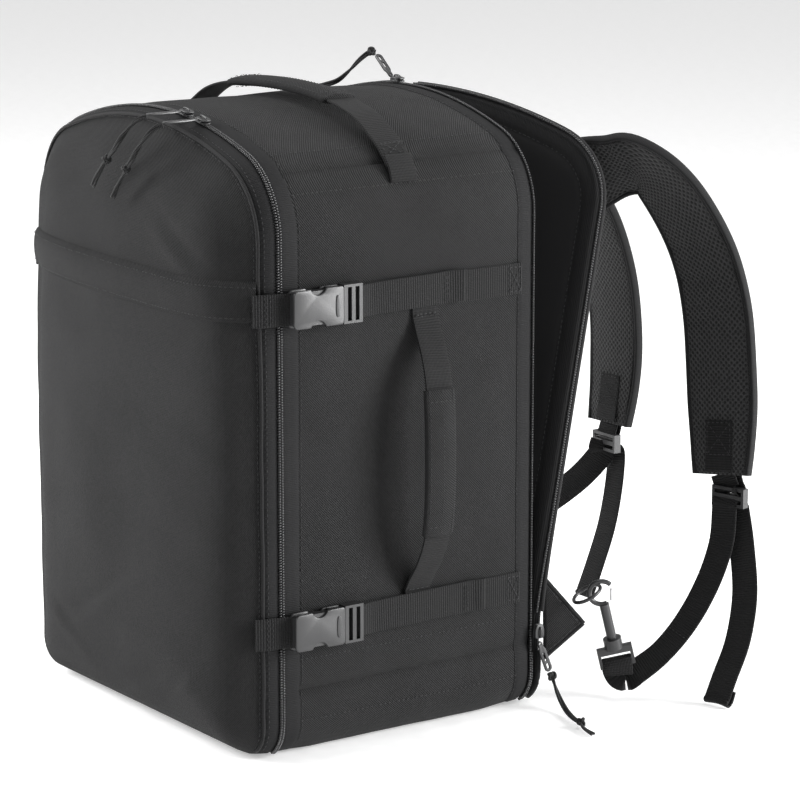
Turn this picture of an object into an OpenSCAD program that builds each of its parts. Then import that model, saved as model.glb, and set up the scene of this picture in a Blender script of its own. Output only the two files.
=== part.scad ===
// Clamshell travel backpack: soft shell, front lid, laptop flap, harness and hardware.
// Origin at the centre of the base, +Z up, -Y to the front lid, +X to the side with the handle.

/* [Body] */
// Width of the body across the front
body_w = 330; // [310:1:350]
// Height of the body at the middle of its crowned top
body_h = 487; // [475:1:500]
// Depth of the main body between the front and rear zips
body_d = 240; // [220:1:260]
// Rise of the top from its corners to its middle
crown = 21; // [14:1:26]
// Radius of the top corners
top_r = 62; // [50:1:70]
// Radius of the bottom corners
base_r = 30; // [20:1:36]
// Thickness of the padded fabric walls
wall = 5; // [4:0.5:7]

/* [Front lid] */
// Depth of the lid from its zip to its front
lid_d = 48; // [42:1:54]
// Height of the upper seam of the band across the lid
band_top = 375; // [365:1:385]
// Height of the band across the lid
band_h = 28; // [22:1:34]

/* [Laptop flap] */
// Thickness of the padded back panel and its flap
panel_t = 12; // [10:1:14]
// How far the flap stands open at rest
flap_open = 38; // [36:1:40]

/* [Straps] */
// Width of the webbing
webbing_w = 25; // [24:0.5:26]
// Thickness of the webbing
webbing_t = 1.8; // [1.4:0.1:2]
// Width of the shoulder pads
pad_w = 66; // [60:1:70]
// Thickness of the shoulder pads
pad_t = 11; // [9:0.5:12]
// Height of the upper compression straps
upper_strap_z = 355; // [350:1:360]
// Height of the lower compression straps
lower_strap_z = 104; // [98:1:110]

/* [Cords] */
// Width of a doubled pull cord
cord_d = 4.4; // [4:0.1:5]

/* [Hidden] */

half_w = body_w / 2;
front_y = -body_d / 2;
rear_y = body_d / 2;
corner_turn = 72;
shoulder_z = body_h - crown - top_r * sin(corner_turn);
seam_top = 452;
seam_base = 54;
part_gap = 0.5;
charcoal = "#2a2a2c";
trim_black = "#18181a";
plastic_black = "#1e1e20";
steel_grey = "#8c8c90";

// ---- helper functions ----
function unit(v) = v / norm(v);
function last(list) = list[len(list) - 1];
function mirrored(points) = [for (p = points) [-p[0], p[1], p[2]]];

// Half outline of the front view, from the base to the middle of the top.
function half_outline(inset, steps = 8) =
    let (w = half_w - inset, rt = top_r - inset, rb = base_r - inset, turn = corner_turn,
         crown_x = w - rt + rt * cos(turn), crown_z = shoulder_z + rt * sin(turn))
    concat(
        [for (i = [0:steps]) let (a = -90 + 90 * i / steps)
            [w - rb + rb * cos(a), inset + rb + rb * sin(a)]],
        [for (i = [0:steps]) let (a = turn * i / steps)
            [w - rt + rt * cos(a), shoulder_z + rt * sin(a)]],
        [for (i = [1:steps]) let (x = crown_x * (1 - i / steps))
            [x, body_h - inset - (body_h - inset - crown_z) * pow(x / crown_x, 2)]]);
function outline(inset) =
    let (half = half_outline(inset), n = len(half))
    concat(half, [for (i = [2:n]) [-half[n - i][0], half[n - i][1]]]);

// A smooth curve through hand-chosen points, as a Catmull-Rom spline.
function spline_point(p0, p1, p2, p3, t) =
    0.5 * (2 * p1 + (p2 - p0) * t + (2 * p0 - 5 * p1 + 4 * p2 - p3) * t * t
           + (3 * p1 - p0 - 3 * p2 + p3) * t * t * t);
function curve(points, steps = 4) =
    let (n = len(points))
    concat([for (i = [0:n - 2], k = [0:steps - 1])
        spline_point(points[max(i - 1, 0)], points[i], points[i + 1],
                     points[min(i + 2, n - 1)], k / steps)], [last(points)]);
function tangent(path, i) = unit(path[min(i + 1, len(path) - 1)] - path[max(i - 1, 0)]);

// Faces of a closed sweep made of rings of k points.
function sweep_faces(rings, k) = concat(
    [for (j = [1:k - 2]) [0, j + 1, j]],
    [for (i = [0:rings - 2], j = [0:k - 1])
        let (a = i * k + j, b = i * k + (j + 1) % k)
        each [[a, b, b + k], [a, b + k, a + k]]],
    [for (j = [1:k - 2]) let (a = (rings - 1) * k) [a, a + j, a + j + 1]]);

// A flat band of the given width and thickness along a path; across gives its width direction.
module band(path, across, w, t) {
    n = len(path);
    points = [for (i = [0:n - 1])
        let (along = tangent(path, i), side_raw = across[min(i, len(across) - 1)],
             side = unit(side_raw - (side_raw * along) * along), up = cross(along, side))
        each [path[i] - side * w / 2 - up * t / 2, path[i] + side * w / 2 - up * t / 2,
              path[i] + side * w / 2 + up * t / 2, path[i] - side * w / 2 + up * t / 2]];
    polyhedron(points = points, faces = sweep_faces(n, 4));
}

// A round tube along a path.
module tube(path, d, sides = 8) {
    n = len(path);
    points = [for (i = [0:n - 1])
        let (along = tangent(path, i), side = unit(cross(along, [0.31, 0.12, 0.94])),
             up = cross(along, side))
        for (j = [0:sides - 1]) let (a = 360 * j / sides)
            path[i] + d / 2 * (cos(a) * side + sin(a) * up)];
    polyhedron(points = points, faces = sweep_faces(n, sides));
}

// An upright plate of a front-view outline from y0 to y1.
module slab(y0, y1) {
    translate([0, y1, 0]) rotate([90, 0, 0]) linear_extrude(y1 - y0) children();
}
module rim(inset, thick) {
    difference() {
        polygon(outline(inset));
        polygon(outline(inset + thick));
    }
}
module zone(x0, x1, z0, z1) {
    translate([x0, z0]) square([x1 - x0, z1 - z0]);
}

// ---- main body ----
module side_wall() {
    slab(front_y + 2.5, rear_y - 2.5)
        intersection() {
            rim(0, wall);
            zone(60, half_w + 1, seam_base, seam_top);
        }
}
module near_side_panel() { color(charcoal) side_wall(); }
module far_side_panel() { color(charcoal) mirror([1, 0, 0]) side_wall(); }
module top_panel() {
    color(charcoal) slab(front_y + 2.5, rear_y - 2.5)
        intersection() {
            rim(0, wall);
            zone(-half_w, half_w, seam_top, body_h + 1);
        }
}
module base_panel() {
    color(charcoal) slab(front_y + 2.5, rear_y - 2.5)
        intersection() {
            rim(0, wall);
            zone(-half_w, half_w, -1, seam_base);
        }
}
module divider_panel() {
    color(trim_black) slab(rear_y - 16, rear_y - 8) polygon(outline(wall + part_gap));
}
module base_board() {
    color(trim_black) translate([-120, front_y + 12, wall + part_gap]) cube([240, 200, 3]);
}
module frame_sheet() {
    color(trim_black) translate([-125, rear_y - 18.5, 40]) cube([250, 2, 360]);
}

// Zips: each half is a tape rim whose outer edge carries the teeth, clear of the floor.
zip_proud = 1.2;
module zip_rim() {
    intersection() {
        rim(-zip_proud, 8);
        zone(-body_w, body_w, 1, body_h + 5);
    }
}
module front_zip_body_side() {
    color(trim_black) slab(front_y + 0.3, front_y + 2.2) zip_rim();
}
module front_zip_lid_side() {
    color(trim_black) slab(front_y - 2.2, front_y - 0.3) zip_rim();
}
module rear_zip_body_side() {
    color(trim_black) slab(rear_y - 2.2, rear_y - 0.3) zip_rim();
}

// ---- back panel, its folding corner and the laptop flap ----
fold_top = [-21, 490];
fold_base = [165, 62];
fold_y = rear_y + 1.5 + panel_t / 2;
fold_dir = unit(fold_top - fold_base);
fold_out = [-fold_dir[1], fold_dir[0]] * -1;
fold_gap = 6;
module beyond_fold(gap) {
    shift = fold_out * gap;
    far = fold_out * 400;
    a = fold_top + fold_dir * 60 + shift;
    b = fold_base - fold_dir * 90 + shift;
    polygon([a, b, b + far, a + far]);
}
module opened() {
    pivot = [fold_base[0], fold_y, fold_base[1]];
    translate(pivot) rotate(a = flap_open, v = [fold_dir[0], 0, fold_dir[1]])
        translate(-pivot) children();
}
module back_panel() {
    color(trim_black) slab(rear_y + 1.5, rear_y + 1.5 + panel_t)
        difference() {
            polygon(outline(0.5));
            beyond_fold(-fold_gap);
        }
}
module laptop_flap() {
    color(charcoal) opened() slab(rear_y + 1.8, rear_y + 1.5 + panel_t)
        intersection() {
            polygon(outline(0.5));
            beyond_fold(fold_gap);
        }
}
module rear_zip_flap_side() {
    color(trim_black) opened() slab(rear_y + 0.4, rear_y + 1.6)
        intersection() {
            zip_rim();
            beyond_fold(fold_gap);
        }
}
module wing(points) {
    thick = 4;
    side = unit(cross(points[1] - points[0], points[2] - points[0])) * thick / 2;
    polyhedron(
        points = concat([for (p = points) p - side], [for (p = points) p + side]),
        faces = [[0, 2, 1], [3, 4, 5], [0, 1, 4], [0, 4, 3], [1, 2, 5], [1, 5, 4],
                 [2, 0, 3], [2, 3, 5]]);
}
near_wing_tip = [177, 163, 66];
module near_wing() { color(charcoal) wing([[166, 139, 106], near_wing_tip, [168, 138, 40]]); }
far_wing_tip = [-182, 172, 68];
module far_wing() { color(charcoal) wing([[-166, 138, 108], far_wing_tip, [-166, 138, 40]]); }

// ---- compression webbing, handles ----
module strip(y0, y1, z, x) {
    translate([x, y0, z - webbing_w / 2]) cube([webbing_t, y1 - y0, webbing_w]);
}
base_webbing_x = half_w + 1.9;
module side_strips() {
    for (z = [upper_strap_z, lower_strap_z])
        strip(front_y + 6, rear_y - 13, z, base_webbing_x);
}
module near_compression_webbing() { color(trim_black) side_strips(); }
module far_compression_webbing() { color(trim_black) mirror([1, 0, 0]) side_strips(); }

side_handle_path = [[168.5, 12, 338], [173, 12, 326], [184, 10, 308], [192, 8, 290], [196, 7, 264],
                    [197, 7, 226], [196, 7, 190], [192, 7, 164], [184, 6, 144], [174, 5, 128],
                    [168.5, 5, 118.5]];
side_grip_path = [[193.5, 8, 286], [196, 7, 264], [197, 7, 226], [196, 7, 190], [193, 7, 167]];
module side_handle_webbing() {
    color(trim_black) band(curve(side_handle_path, 2), [[0, 1, 0]], webbing_w - 1, webbing_t);
}
module side_handle_grip() {
    color(charcoal) band(curve(side_grip_path, 2), [[0, 1, 0]], webbing_w + 3, 10);
}
top_half_path = [[152, 0, 452], [142, 0, 463], [128, 0, 473], [108, 0, 484], [84, 0, 491],
                 [56, 0, 495], [28, 0, 497]];
top_handle_path = concat(top_half_path, [[0, 0, 497.6]],
                         [for (i = [1:len(top_half_path)])
                             mirrored(top_half_path)[len(top_half_path) - i]]);
top_grip_path = [[70, 0, 493.2], [36, 0, 496.5], [0, 0, 497.6], [-36, 0, 496.5], [-70, 0, 493.2]];
module top_handle_webbing() {
    color(trim_black) band(top_handle_path, [[0, 1, 0]], webbing_w, webbing_t);
}
module top_handle_grip() {
    color(charcoal) band(curve(top_grip_path, 2), [[0, 1, 0]], webbing_w + 4, 9);
}

// ---- front lid ----
lid_front_y = front_y - lid_d;
module lid_gusset() {
    color(charcoal) slab(front_y - 28, front_y - 2.5) rim(0, wall);
}
module lid_panel() {
    color(charcoal) union() {
        slab(front_y - 38, front_y - 28) difference() {
            polygon(outline(3));
            polygon(outline(12));
        }
        slab(lid_front_y + 4, front_y - 38) polygon(outline(9));
        slab(lid_front_y, lid_front_y + 4) polygon(outline(20));
    }
}
module lid_band() {
    color(trim_black) translate([-half_w + 24, lid_front_y - 2.4, band_top - band_h])
        cube([body_w - 48, 2, band_h]);
}
module lid_webbing_stubs() {
    color(trim_black) for (s = [-1, 1], z = [upper_strap_z, lower_strap_z])
        translate([s * (base_webbing_x + webbing_t / 2), front_y - 9, z])
            cube([webbing_t, 24, webbing_w], center = true);
}

// ---- side-release buckles ----
buckle_w = 30;
socket_y = front_y + 5;
socket_l = 45;
plate_t = 1.6;
buckle_x = half_w + 4.5;
buckle_h = 10;
// The lid half: two plates joined at the closed end, with a bar for the webbing.
module socket(z) {
    translate([buckle_x, socket_y, z]) {
        for (x = [0, buckle_h - plate_t])
            translate([x, 0, -buckle_w / 2]) linear_extrude(buckle_w)
                square([plate_t, socket_l]);
        translate([0, 0, -buckle_w / 2]) cube([buckle_h, 9, buckle_w]);
    }
}
module near_upper_socket() { color(plastic_black) socket(upper_strap_z); }
module near_lower_socket() { color(plastic_black) socket(lower_strap_z); }
module far_upper_socket() { color(plastic_black) mirror([1, 0, 0]) socket(upper_strap_z); }
module far_lower_socket() { color(plastic_black) mirror([1, 0, 0]) socket(lower_strap_z); }

// The body half: two springy prongs, a guide pin between them, and a frame with two slots.
prong_l = 30;
frame_l = 17;
module plug(z) {
    frame_y = socket_y + socket_l + part_gap;
    layer = buckle_h - 2 * plate_t - 1;
    mid = buckle_x + buckle_h / 2;
    translate([mid, frame_y, z]) {
        for (s = [-1, 1])
            translate([0, -prong_l / 2 + 1, s * 10.5]) cube([layer, prong_l + 2, 5], center = true);
        translate([0, -prong_l / 2 + 4, 0]) cube([layer - 1, prong_l - 6, 4], center = true);
        difference() {
            translate([0, frame_l / 2, 0]) cube([8, frame_l, buckle_w], center = true);
            for (y = [5.2, 12.2])
                translate([0, y, 0]) cube([9, 3.6, webbing_w + 1], center = true);
        }
    }
}
module near_upper_plug() { color(plastic_black) plug(upper_strap_z); }
module near_lower_plug() { color(plastic_black) plug(lower_strap_z); }
module far_upper_plug() { color(plastic_black) mirror([1, 0, 0]) plug(upper_strap_z); }
module far_lower_plug() { color(plastic_black) mirror([1, 0, 0]) plug(lower_strap_z); }

// The adjustable tail: it runs from the plug's slots back over the sewn webbing.
module tail(z, end_y) {
    start_y = socket_y + socket_l + frame_l + 1.5;
    translate([base_webbing_x + webbing_t + part_gap, start_y, z - webbing_w / 2])
        cube([webbing_t * 2, end_y - start_y, webbing_w]);
}
upper_tail_end = 46;
lower_tail_end = 66;
module near_upper_tail() { color(trim_black) tail(upper_strap_z, upper_tail_end); }
module near_lower_tail() { color(trim_black) tail(lower_strap_z, lower_tail_end); }
module far_upper_tail() { color(trim_black) mirror([1, 0, 0]) tail(upper_strap_z, upper_tail_end); }
module far_lower_tail() { color(trim_black) mirror([1, 0, 0]) tail(lower_strap_z, lower_tail_end); }

// ---- near shoulder strap ----
near_pad_path = [[89, 218.5, 412], [113.5, 244.5, 425], [136, 256, 425], [155, 273, 399], [171, 289, 357],
                 [181, 296, 312], [188, 296, 262], [195, 293, 216], [201, 288, 177]];
near_pad_across = [[-10, -4, 58], [36, -6, 40], [53, -12, 32], [60, 0, 34], [64, 12, 18],
                   [67, 18, 6], [67, 18, 0], [67, 18, 0], [67, 18, 0]];
near_stub_path = [[51, 168.5, 418], [65.5, 182, 416], [78, 197, 413]];
module near_strap_stub() {
    color(trim_black) band(near_stub_path, [[-26, 0, 60]], 50, 4);
}
module near_strap_pad() {
    color(charcoal) band(curve(near_pad_path, 3), curve(near_pad_across, 3), pad_w, pad_t);
}
lock_dir = [67, 18, 0];
near_lock = [208, 291, 160];
near_hang_path = [[207, 287, 148], [211, 280, 122], [212, 266, 92], [210, 246, 62], [204, 225, 40],
                  [196, 206, 29]];
near_tail_path = [[209, 295, 148], [222, 293, 120], [236, 285, 84], [245, 271, 50], [249, 254, 22],
                  [250, 244, 4]];
module ladder_lock(at, yaw) {
    translate(at) rotate([0, 0, yaw]) difference() {
        cube([31, 7, 16], center = true);
        for (z = [-3.6, 3.6]) translate([0, 0, z]) cube([26, 8, 3.4], center = true);
    }
}
module near_ladder_lock() { color(plastic_black) ladder_lock(near_lock, 15); }
module near_strap_webbing() {
    color(trim_black) {
        band(curve(near_hang_path, 2), [lock_dir], webbing_w - 1, webbing_t);
        band(curve(near_tail_path, 2), [lock_dir], webbing_w - 1, webbing_t);
    }
}

// ---- snap hook, its ring and its gate ----
hook_at = [187, 175, 92];
hook_turn = [8, -13, 54];
hook_r = 10;
hook_wire = 4;
module hook_place(at) { translate(at) rotate(hook_turn) children(); }
module hook() {
    rotate([90, 0, 0]) rotate([0, 0, 35]) rotate_extrude(angle = 250, $fn = 48)
        translate([hook_r, 0]) circle(d = hook_wire, $fn = 24);
    translate([0, 0, -44]) cylinder(h = 34, d = 8, $fn = 32);
    translate([0, 0, -50]) cylinder(h = 9, d = 15, $fn = 32);
    translate([0, 0, -57.5]) difference() {
        cube([29, 6, 17], center = true);
        translate([0, 0, -1]) cube([24, 7, 8], center = true);
    }
}
module near_hook() { color(plastic_black) hook_place(hook_at) hook(); }
module near_hook_gate() {
    color(steel_grey) hook_place(hook_at) translate([6.4, 0, -8.2]) rotate([0, 10, 0])
        cylinder(h = 10, d = 2.2, $fn = 24);
}
module near_ring() {
    color(plastic_black) translate([180.2, 165.5, 91.1]) rotate([29.4, 0, -20.3])
        rotate_extrude($fn = 48) translate([12, 0]) circle(d = 3, $fn = 24);
}

// ---- far shoulder strap ----
far_pad_path = [[-62, 158, 440], [-62, 196, 444], [-58, 250, 438], [-52, 300, 412],
                [-44, 338, 368], [-38, 358, 312], [-34, 364, 256], [-32, 362, 206], [-31, 356, 168]];
far_lock = [-30, 352, 152];
far_hang_path = [[-34, 350, 141], [-54, 334, 112], [-88, 300, 76], [-124, 264, 48], [-156, 232, 34],
                 [-180, 206, 29]];
far_tail_path = [[-26, 359, 141], [-24, 356, 112], [-26, 350, 76], [-30, 340, 40], [-34, 332, 14]];
module far_strap_pad() { color(charcoal) band(curve(far_pad_path, 3), [[1, 0, 0]], pad_w, pad_t); }
module far_ladder_lock() { color(plastic_black) ladder_lock(far_lock, 0); }
module far_strap_webbing() {
    color(trim_black) {
        band(curve(far_hang_path, 2), [[0.6, 0.8, 0]], webbing_w - 1, webbing_t);
        band(curve(far_tail_path, 2), [[1, 0, 0]], webbing_w - 1, webbing_t);
    }
}
module far_hook() {
    color(plastic_black) mirror([1, 0, 0]) hook_place(hook_at) hook();
}

// ---- zip sliders, pull tabs and pull cords ----
slider_l = 13;
// how far a puller's eye stands off its slider, along it and above it
pull_gap = 2;
pull_rise = 3.4;
slider_w = 9;
slider_h = 5;
tab_t = 1.6;
tab_w = 7;
module slider_body() {
    translate([0, 0, slider_h / 2]) cube([slider_l, slider_w, slider_h], center = true);
}
// A tab hangs from the slider and holds the cord at its far end.
module pull_tab(l) {
    translate([0, -tab_w / 2, -tab_t / 2]) cube([l, tab_w, tab_t]);
}
slider_a_x = 38;
slider_b_x = 62;
crown_x = half_w - top_r + top_r * cos(corner_turn);
function crown_at(x) = body_h - crown * pow(x / crown_x, 2);
function crown_tilt(x) = atan(2 * crown * x / pow(crown_x, 2));
module front_slider(x) {
    translate([x, front_y, crown_at(x) + 2.1]) rotate([0, crown_tilt(x), 0]) slider_body();
}
module front_slider_a() { color(plastic_black) front_slider(slider_a_x); }
module front_slider_b() { color(plastic_black) front_slider(slider_b_x); }
front_tab_l = 30;
module front_pull(x) {
    color(plastic_black) translate([x, front_y - slider_w / 2 - 1, crown_at(x) + 5])
        rotate([0, 0, -90]) pull_tab(front_tab_l);
}
module front_pull_a() { front_pull(slider_a_x); }
module front_pull_b() { front_pull(slider_b_x); }

rear_upper = [-21, rear_y, 488.8];
rear_lower = [half_w + 3.6, rear_y + 4, 64];
module rear_slider_upper() {
    color(plastic_black) translate(rear_upper) slider_body();
}
module rear_slider_lower() {
    color(plastic_black) translate(rear_lower) rotate([0, 90, 0]) slider_body();
}
upper_tab_tilt = 38;
lower_tab_tilt = 22;
module rear_pull_upper() {
    color(plastic_black) translate(rear_upper + [-slider_l / 2 - pull_gap, 0, pull_rise])
        rotate([0, 180 + upper_tab_tilt, 0]) pull_tab(26);
}
module rear_pull_lower() {
    color(plastic_black) translate(rear_lower + [pull_rise, 0, -slider_l / 2 - pull_gap])
        rotate([0, 90, 0]) rotate([0, 0, lower_tab_tilt]) pull_tab(28);
}
front_cord_a_route = [[38, -156, 488], [36, -161, 487], [32, -167, 481], [26, -171.5, 472],
                      [18, -173.5, 462], [8, -174, 454], [0, -174, 446], [-8, -174, 438],
                      [-14, -174, 430]];
front_cord_b_route = [[62, -156, 484.5], [60, -161, 483], [57, -167, 477], [52, -171.5, 468],
                      [45, -173.5, 458], [37, -174, 450], [29, -174, 441], [22, -174, 433],
                      [16, -174, 425]];
rear_cord_upper_route = [[-51, 119, 510], [-54, 115, 510], [-58, 108, 504], [-63, 101, 495],
                         [-71, 95, 486.5], [-82, 90, 482], [-93, 86, 479], [-103, 82, 476],
                         [-112, 78, 473]];
rear_cord_lower_route = [[171, 136, 28], [174, 137, 21], [179, 137, 13], [188, 135, 6.5],
                         [200, 131, 3.2], [214, 126, 2.6], [228, 122, 2.6], [242, 116, 2.6],
                         [256, 113, 2.6]];
module pull_cord(route) { color(trim_black) tube(curve(route, 2), cord_d); }
module front_cord_a() { pull_cord(front_cord_a_route); }
module front_cord_b() { pull_cord(front_cord_b_route); }
module rear_cord_upper() { pull_cord(rear_cord_upper_route); }
module rear_cord_lower() { pull_cord(rear_cord_lower_route); }

near_side_panel();
far_side_panel();
top_panel();
base_panel();
divider_panel();
base_board();
frame_sheet();
front_zip_body_side();
rear_zip_body_side();
back_panel();
near_compression_webbing();
far_compression_webbing();
side_handle_webbing();
side_handle_grip();
top_handle_webbing();
top_handle_grip();
far_wing();
lid_gusset();
lid_panel();
lid_band();
front_zip_lid_side();
lid_webbing_stubs();
near_upper_socket();
near_lower_socket();
far_upper_socket();
far_lower_socket();
near_upper_plug();
near_lower_plug();
far_upper_plug();
far_lower_plug();
near_upper_tail();
near_lower_tail();
far_upper_tail();
far_lower_tail();
laptop_flap();
rear_zip_flap_side();
near_wing();
near_ring();
near_strap_stub();
near_strap_pad();
near_ladder_lock();
near_strap_webbing();
near_hook();
near_hook_gate();
far_strap_pad();
far_ladder_lock();
far_strap_webbing();
far_hook();
front_slider_a();
front_slider_b();
rear_slider_upper();
rear_slider_lower();
front_pull_a();
front_pull_b();
rear_pull_upper();
rear_pull_lower();
front_cord_a();
front_cord_b();
rear_cord_upper();
rear_cord_lower();
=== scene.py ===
"""Travel backpack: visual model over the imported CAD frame. Lengths are in millimetres until a mesh is made."""
import math

import bmesh
import bpy
from mathutils import Matrix, Vector, noise
from mathutils.bvhtree import BVHTree


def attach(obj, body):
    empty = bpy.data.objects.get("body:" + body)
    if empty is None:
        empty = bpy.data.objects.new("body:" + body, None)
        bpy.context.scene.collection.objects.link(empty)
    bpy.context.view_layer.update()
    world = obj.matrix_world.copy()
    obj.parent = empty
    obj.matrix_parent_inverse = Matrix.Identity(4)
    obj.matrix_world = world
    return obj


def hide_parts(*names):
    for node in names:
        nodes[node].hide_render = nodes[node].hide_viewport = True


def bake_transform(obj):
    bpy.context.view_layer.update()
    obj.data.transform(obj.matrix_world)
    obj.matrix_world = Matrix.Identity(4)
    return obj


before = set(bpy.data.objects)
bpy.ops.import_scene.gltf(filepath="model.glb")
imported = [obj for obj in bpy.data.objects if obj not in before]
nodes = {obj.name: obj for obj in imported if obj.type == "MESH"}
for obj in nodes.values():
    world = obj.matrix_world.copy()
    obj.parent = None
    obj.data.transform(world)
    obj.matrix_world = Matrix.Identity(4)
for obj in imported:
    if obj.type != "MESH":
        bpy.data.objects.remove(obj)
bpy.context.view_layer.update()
MM = 0.001

# ---- sizes shared with the CAD source ----
HALF_W = 165.0
BODY_H = 487.0
CROWN = 21.0
TOP_R = 62.0
BASE_R = 30.0
TURN = math.radians(72)
SHOULDER_Z = BODY_H - CROWN - TOP_R * math.sin(TURN)
ZIP_Y = 120.0
SEAM_TOP = 452.0
SEAM_BASE = 54.0
SEAM_REACH = 5.0
WEBBING_W = 25.0
UPPER_Z = 355.0
LOWER_Z = 104.0
FOLD_AT = Vector((165, 127.5, 62))
FOLD_ALONG = Vector((-186, 0, 428)).normalized()
FOLD_OUT = Vector((FOLD_ALONG.z, 0, -FOLD_ALONG.x))
FLAP_OPEN = math.radians(38)

# ---- camera, lights and floor ----
CAMERA_AZ = math.radians(54.8)
CAMERA_EL = math.radians(12.6)
CAMERA_AWAY = 2816.6
CAMERA_LENS = 155.9
SENSOR_W = 36
CAMERA_AT = Vector((50.7, 72.0, 239.9))
# Each area light: its place, its two sides and its watts.
LIGHTS = {
    "front_left": ((-1500, -1900, 1500), (1200, 1400), 108),
    "right_back": ((1750, 1750, 700), (1000, 1400), 120),
    "top": ((-200, 300, 2500), (1300, 1300), 32),
}
WORLD_LIGHT = 0.5
FLOOR_HALF = 9.0
FLOOR_DROP = 0.0006
FLOOR_GLOW = 0.3
WHITE = (1, 1, 1, 1)


def to_camera(azimuth, elevation):
    """Direction from the object to a camera at that azimuth and elevation, in radians."""
    return Vector((
        math.sin(azimuth) * math.cos(elevation),
        -math.cos(azimuth) * math.cos(elevation),
        math.sin(elevation),
    ))


def aim(obj, place, target):
    """Puts a camera or light at place, looking at target, in millimetres."""
    obj.location = Vector(place) * MM
    turn = (Vector(target) - Vector(place)).to_track_quat("-Z", "Y")
    obj.rotation_mode = "QUATERNION"
    obj.rotation_quaternion = turn
    bpy.context.scene.collection.objects.link(obj)


def make_camera():
    data = bpy.data.cameras.new("camera")
    data.lens = CAMERA_LENS
    data.sensor_width = SENSOR_W
    data.clip_end = 50
    camera = bpy.data.objects.new("camera", data)
    aim(camera, CAMERA_AT + to_camera(CAMERA_AZ, CAMERA_EL) * CAMERA_AWAY, CAMERA_AT)
    bpy.context.scene.camera = camera


def make_light(name, place, size, watts, target=(0, 0, 240)):
    data = bpy.data.lights.new(name, "AREA")
    data.shape = "RECTANGLE"
    data.size = size[0] * MM
    data.size_y = size[1] * MM
    data.energy = watts
    aim(bpy.data.objects.new(name, data), place, target)


def make_stage():
    world = bpy.data.worlds.new("studio")
    world.use_nodes = True
    background = world.node_tree.nodes["Background"]
    background.inputs["Color"].default_value = WHITE
    background.inputs["Strength"].default_value = WORLD_LIGHT
    bpy.context.scene.world = world
    bpy.context.scene.view_settings.view_transform = "Standard"
    for name, (place, size, watts) in LIGHTS.items():
        make_light(name, place, size, watts)
    mesh = bpy.data.meshes.new("floor")
    corners = [(x * FLOOR_HALF, y * FLOOR_HALF, 0) for x, y in ((-1, -1), (1, -1), (1, 1), (-1, 1))]
    mesh.from_pydata(corners, [], [(0, 1, 2, 3)])
    floor = bpy.data.objects.new("floor", mesh)
    floor.location.z = -FLOOR_DROP
    bpy.context.scene.collection.objects.link(floor)
    paper = plain_material("floor_paper", (0.86, 0.86, 0.86), 0.9)
    shader = paper.node_tree.nodes["Principled BSDF"]
    shader.inputs["Emission Color"].default_value = WHITE
    shader.inputs["Emission Strength"].default_value = FLOOR_GLOW
    mesh.materials.append(paper)


# ---- materials ----
def new_material(name, inputs):
    """A material, its node tree and its shader, with the shader's inputs set to the given values."""
    material = bpy.data.materials.new(name)
    material.use_nodes = True
    tree = material.node_tree
    shader = tree.nodes["Principled BSDF"]
    for key, value in inputs.items():
        shader.inputs[key].default_value = value
    return material, tree, shader


def add_node(tree, kind, inputs=None, **settings):
    """A new shader node with its settings, and its inputs set to values or linked to sockets."""
    node = tree.nodes.new(kind)
    for key, value in settings.items():
        setattr(node, key, value)
    for key, value in (inputs or {}).items():
        if isinstance(value, bpy.types.NodeSocket):
            tree.links.new(value, node.inputs[key])
        else:
            node.inputs[key].default_value = value
    return node


def math_node(tree, operation, a, b=0.0):
    return add_node(tree, "ShaderNodeMath", {0: a, 1: b}, operation=operation).outputs[0]


def total(tree, a, a_share, b, b_share):
    """The sum of two values, each times its share."""
    return math_node(tree, "ADD", math_node(tree, "MULTIPLY", a, a_share), math_node(tree, "MULTIPLY", b, b_share))


def grain(tree, place, scale, detail, **inputs):
    """Noise at a place, as a value."""
    settings = {"Vector": place, "Scale": scale, "Detail": detail}
    settings.update({key.replace("_", " ").title(): value for key, value in inputs.items()})
    return add_node(tree, "ShaderNodeTexNoise", settings).outputs["Fac"]


def raise_surface(tree, shader, height, distance, strength=1.0, under=None):
    """Bumps the shader's normal by a height, over another bump where one is given."""
    bump = add_node(tree, "ShaderNodeBump", {"Height": height, "Strength": strength, "Distance": distance})
    if under:
        tree.links.new(under, bump.inputs["Normal"])
    tree.links.new(bump.outputs["Normal"], shader.inputs["Normal"])


def colour_shader(tree, shader, factor, colour, low, high, start=0.0, end=1.0):
    """Colours the shader between two strengths of one colour as the factor runs from start to end."""
    ramp = add_node(tree, "ShaderNodeValToRGB", {"Fac": factor})
    for element, by, at in zip(ramp.color_ramp.elements, (low, high), (start, end)):
        element.position = at
        element.color = (*scaled(colour, by), 1)
    tree.links.new(ramp.outputs["Color"], shader.inputs["Base Color"])


def scaled(colour, by):
    return tuple(min(1.0, c * by) for c in colour)


def plain_material(name, colour, rough, bumps=0.0, metal=0.0, coat=0.0):
    """Moulded plastic or painted metal: fine grain in its bump and slight cloudiness in its roughness."""
    material, tree, shader = new_material(name, {"Metallic": metal, "Coat Weight": coat})
    place = add_node(tree, "ShaderNodeTexCoord").outputs["Object"]
    cloud = grain(tree, place, 60.0, 4.0)
    colour_shader(tree, shader, cloud, colour, 0.86, 1.12)
    low = add_node(tree, "ShaderNodeMapRange", {"Value": cloud, "To Min": rough * 0.85,
                                                "To Max": min(1.0, rough * 1.2)})
    tree.links.new(low.outputs["Result"], shader.inputs["Roughness"])
    if bumps:
        raise_surface(tree, shader, grain(tree, place, 1900.0, 2.0), 0.2 * MM, bumps)
    return material


# A wave texture of scale 1 repeats every this many metres.
WAVE_PERIOD = 0.2 * math.pi


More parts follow.
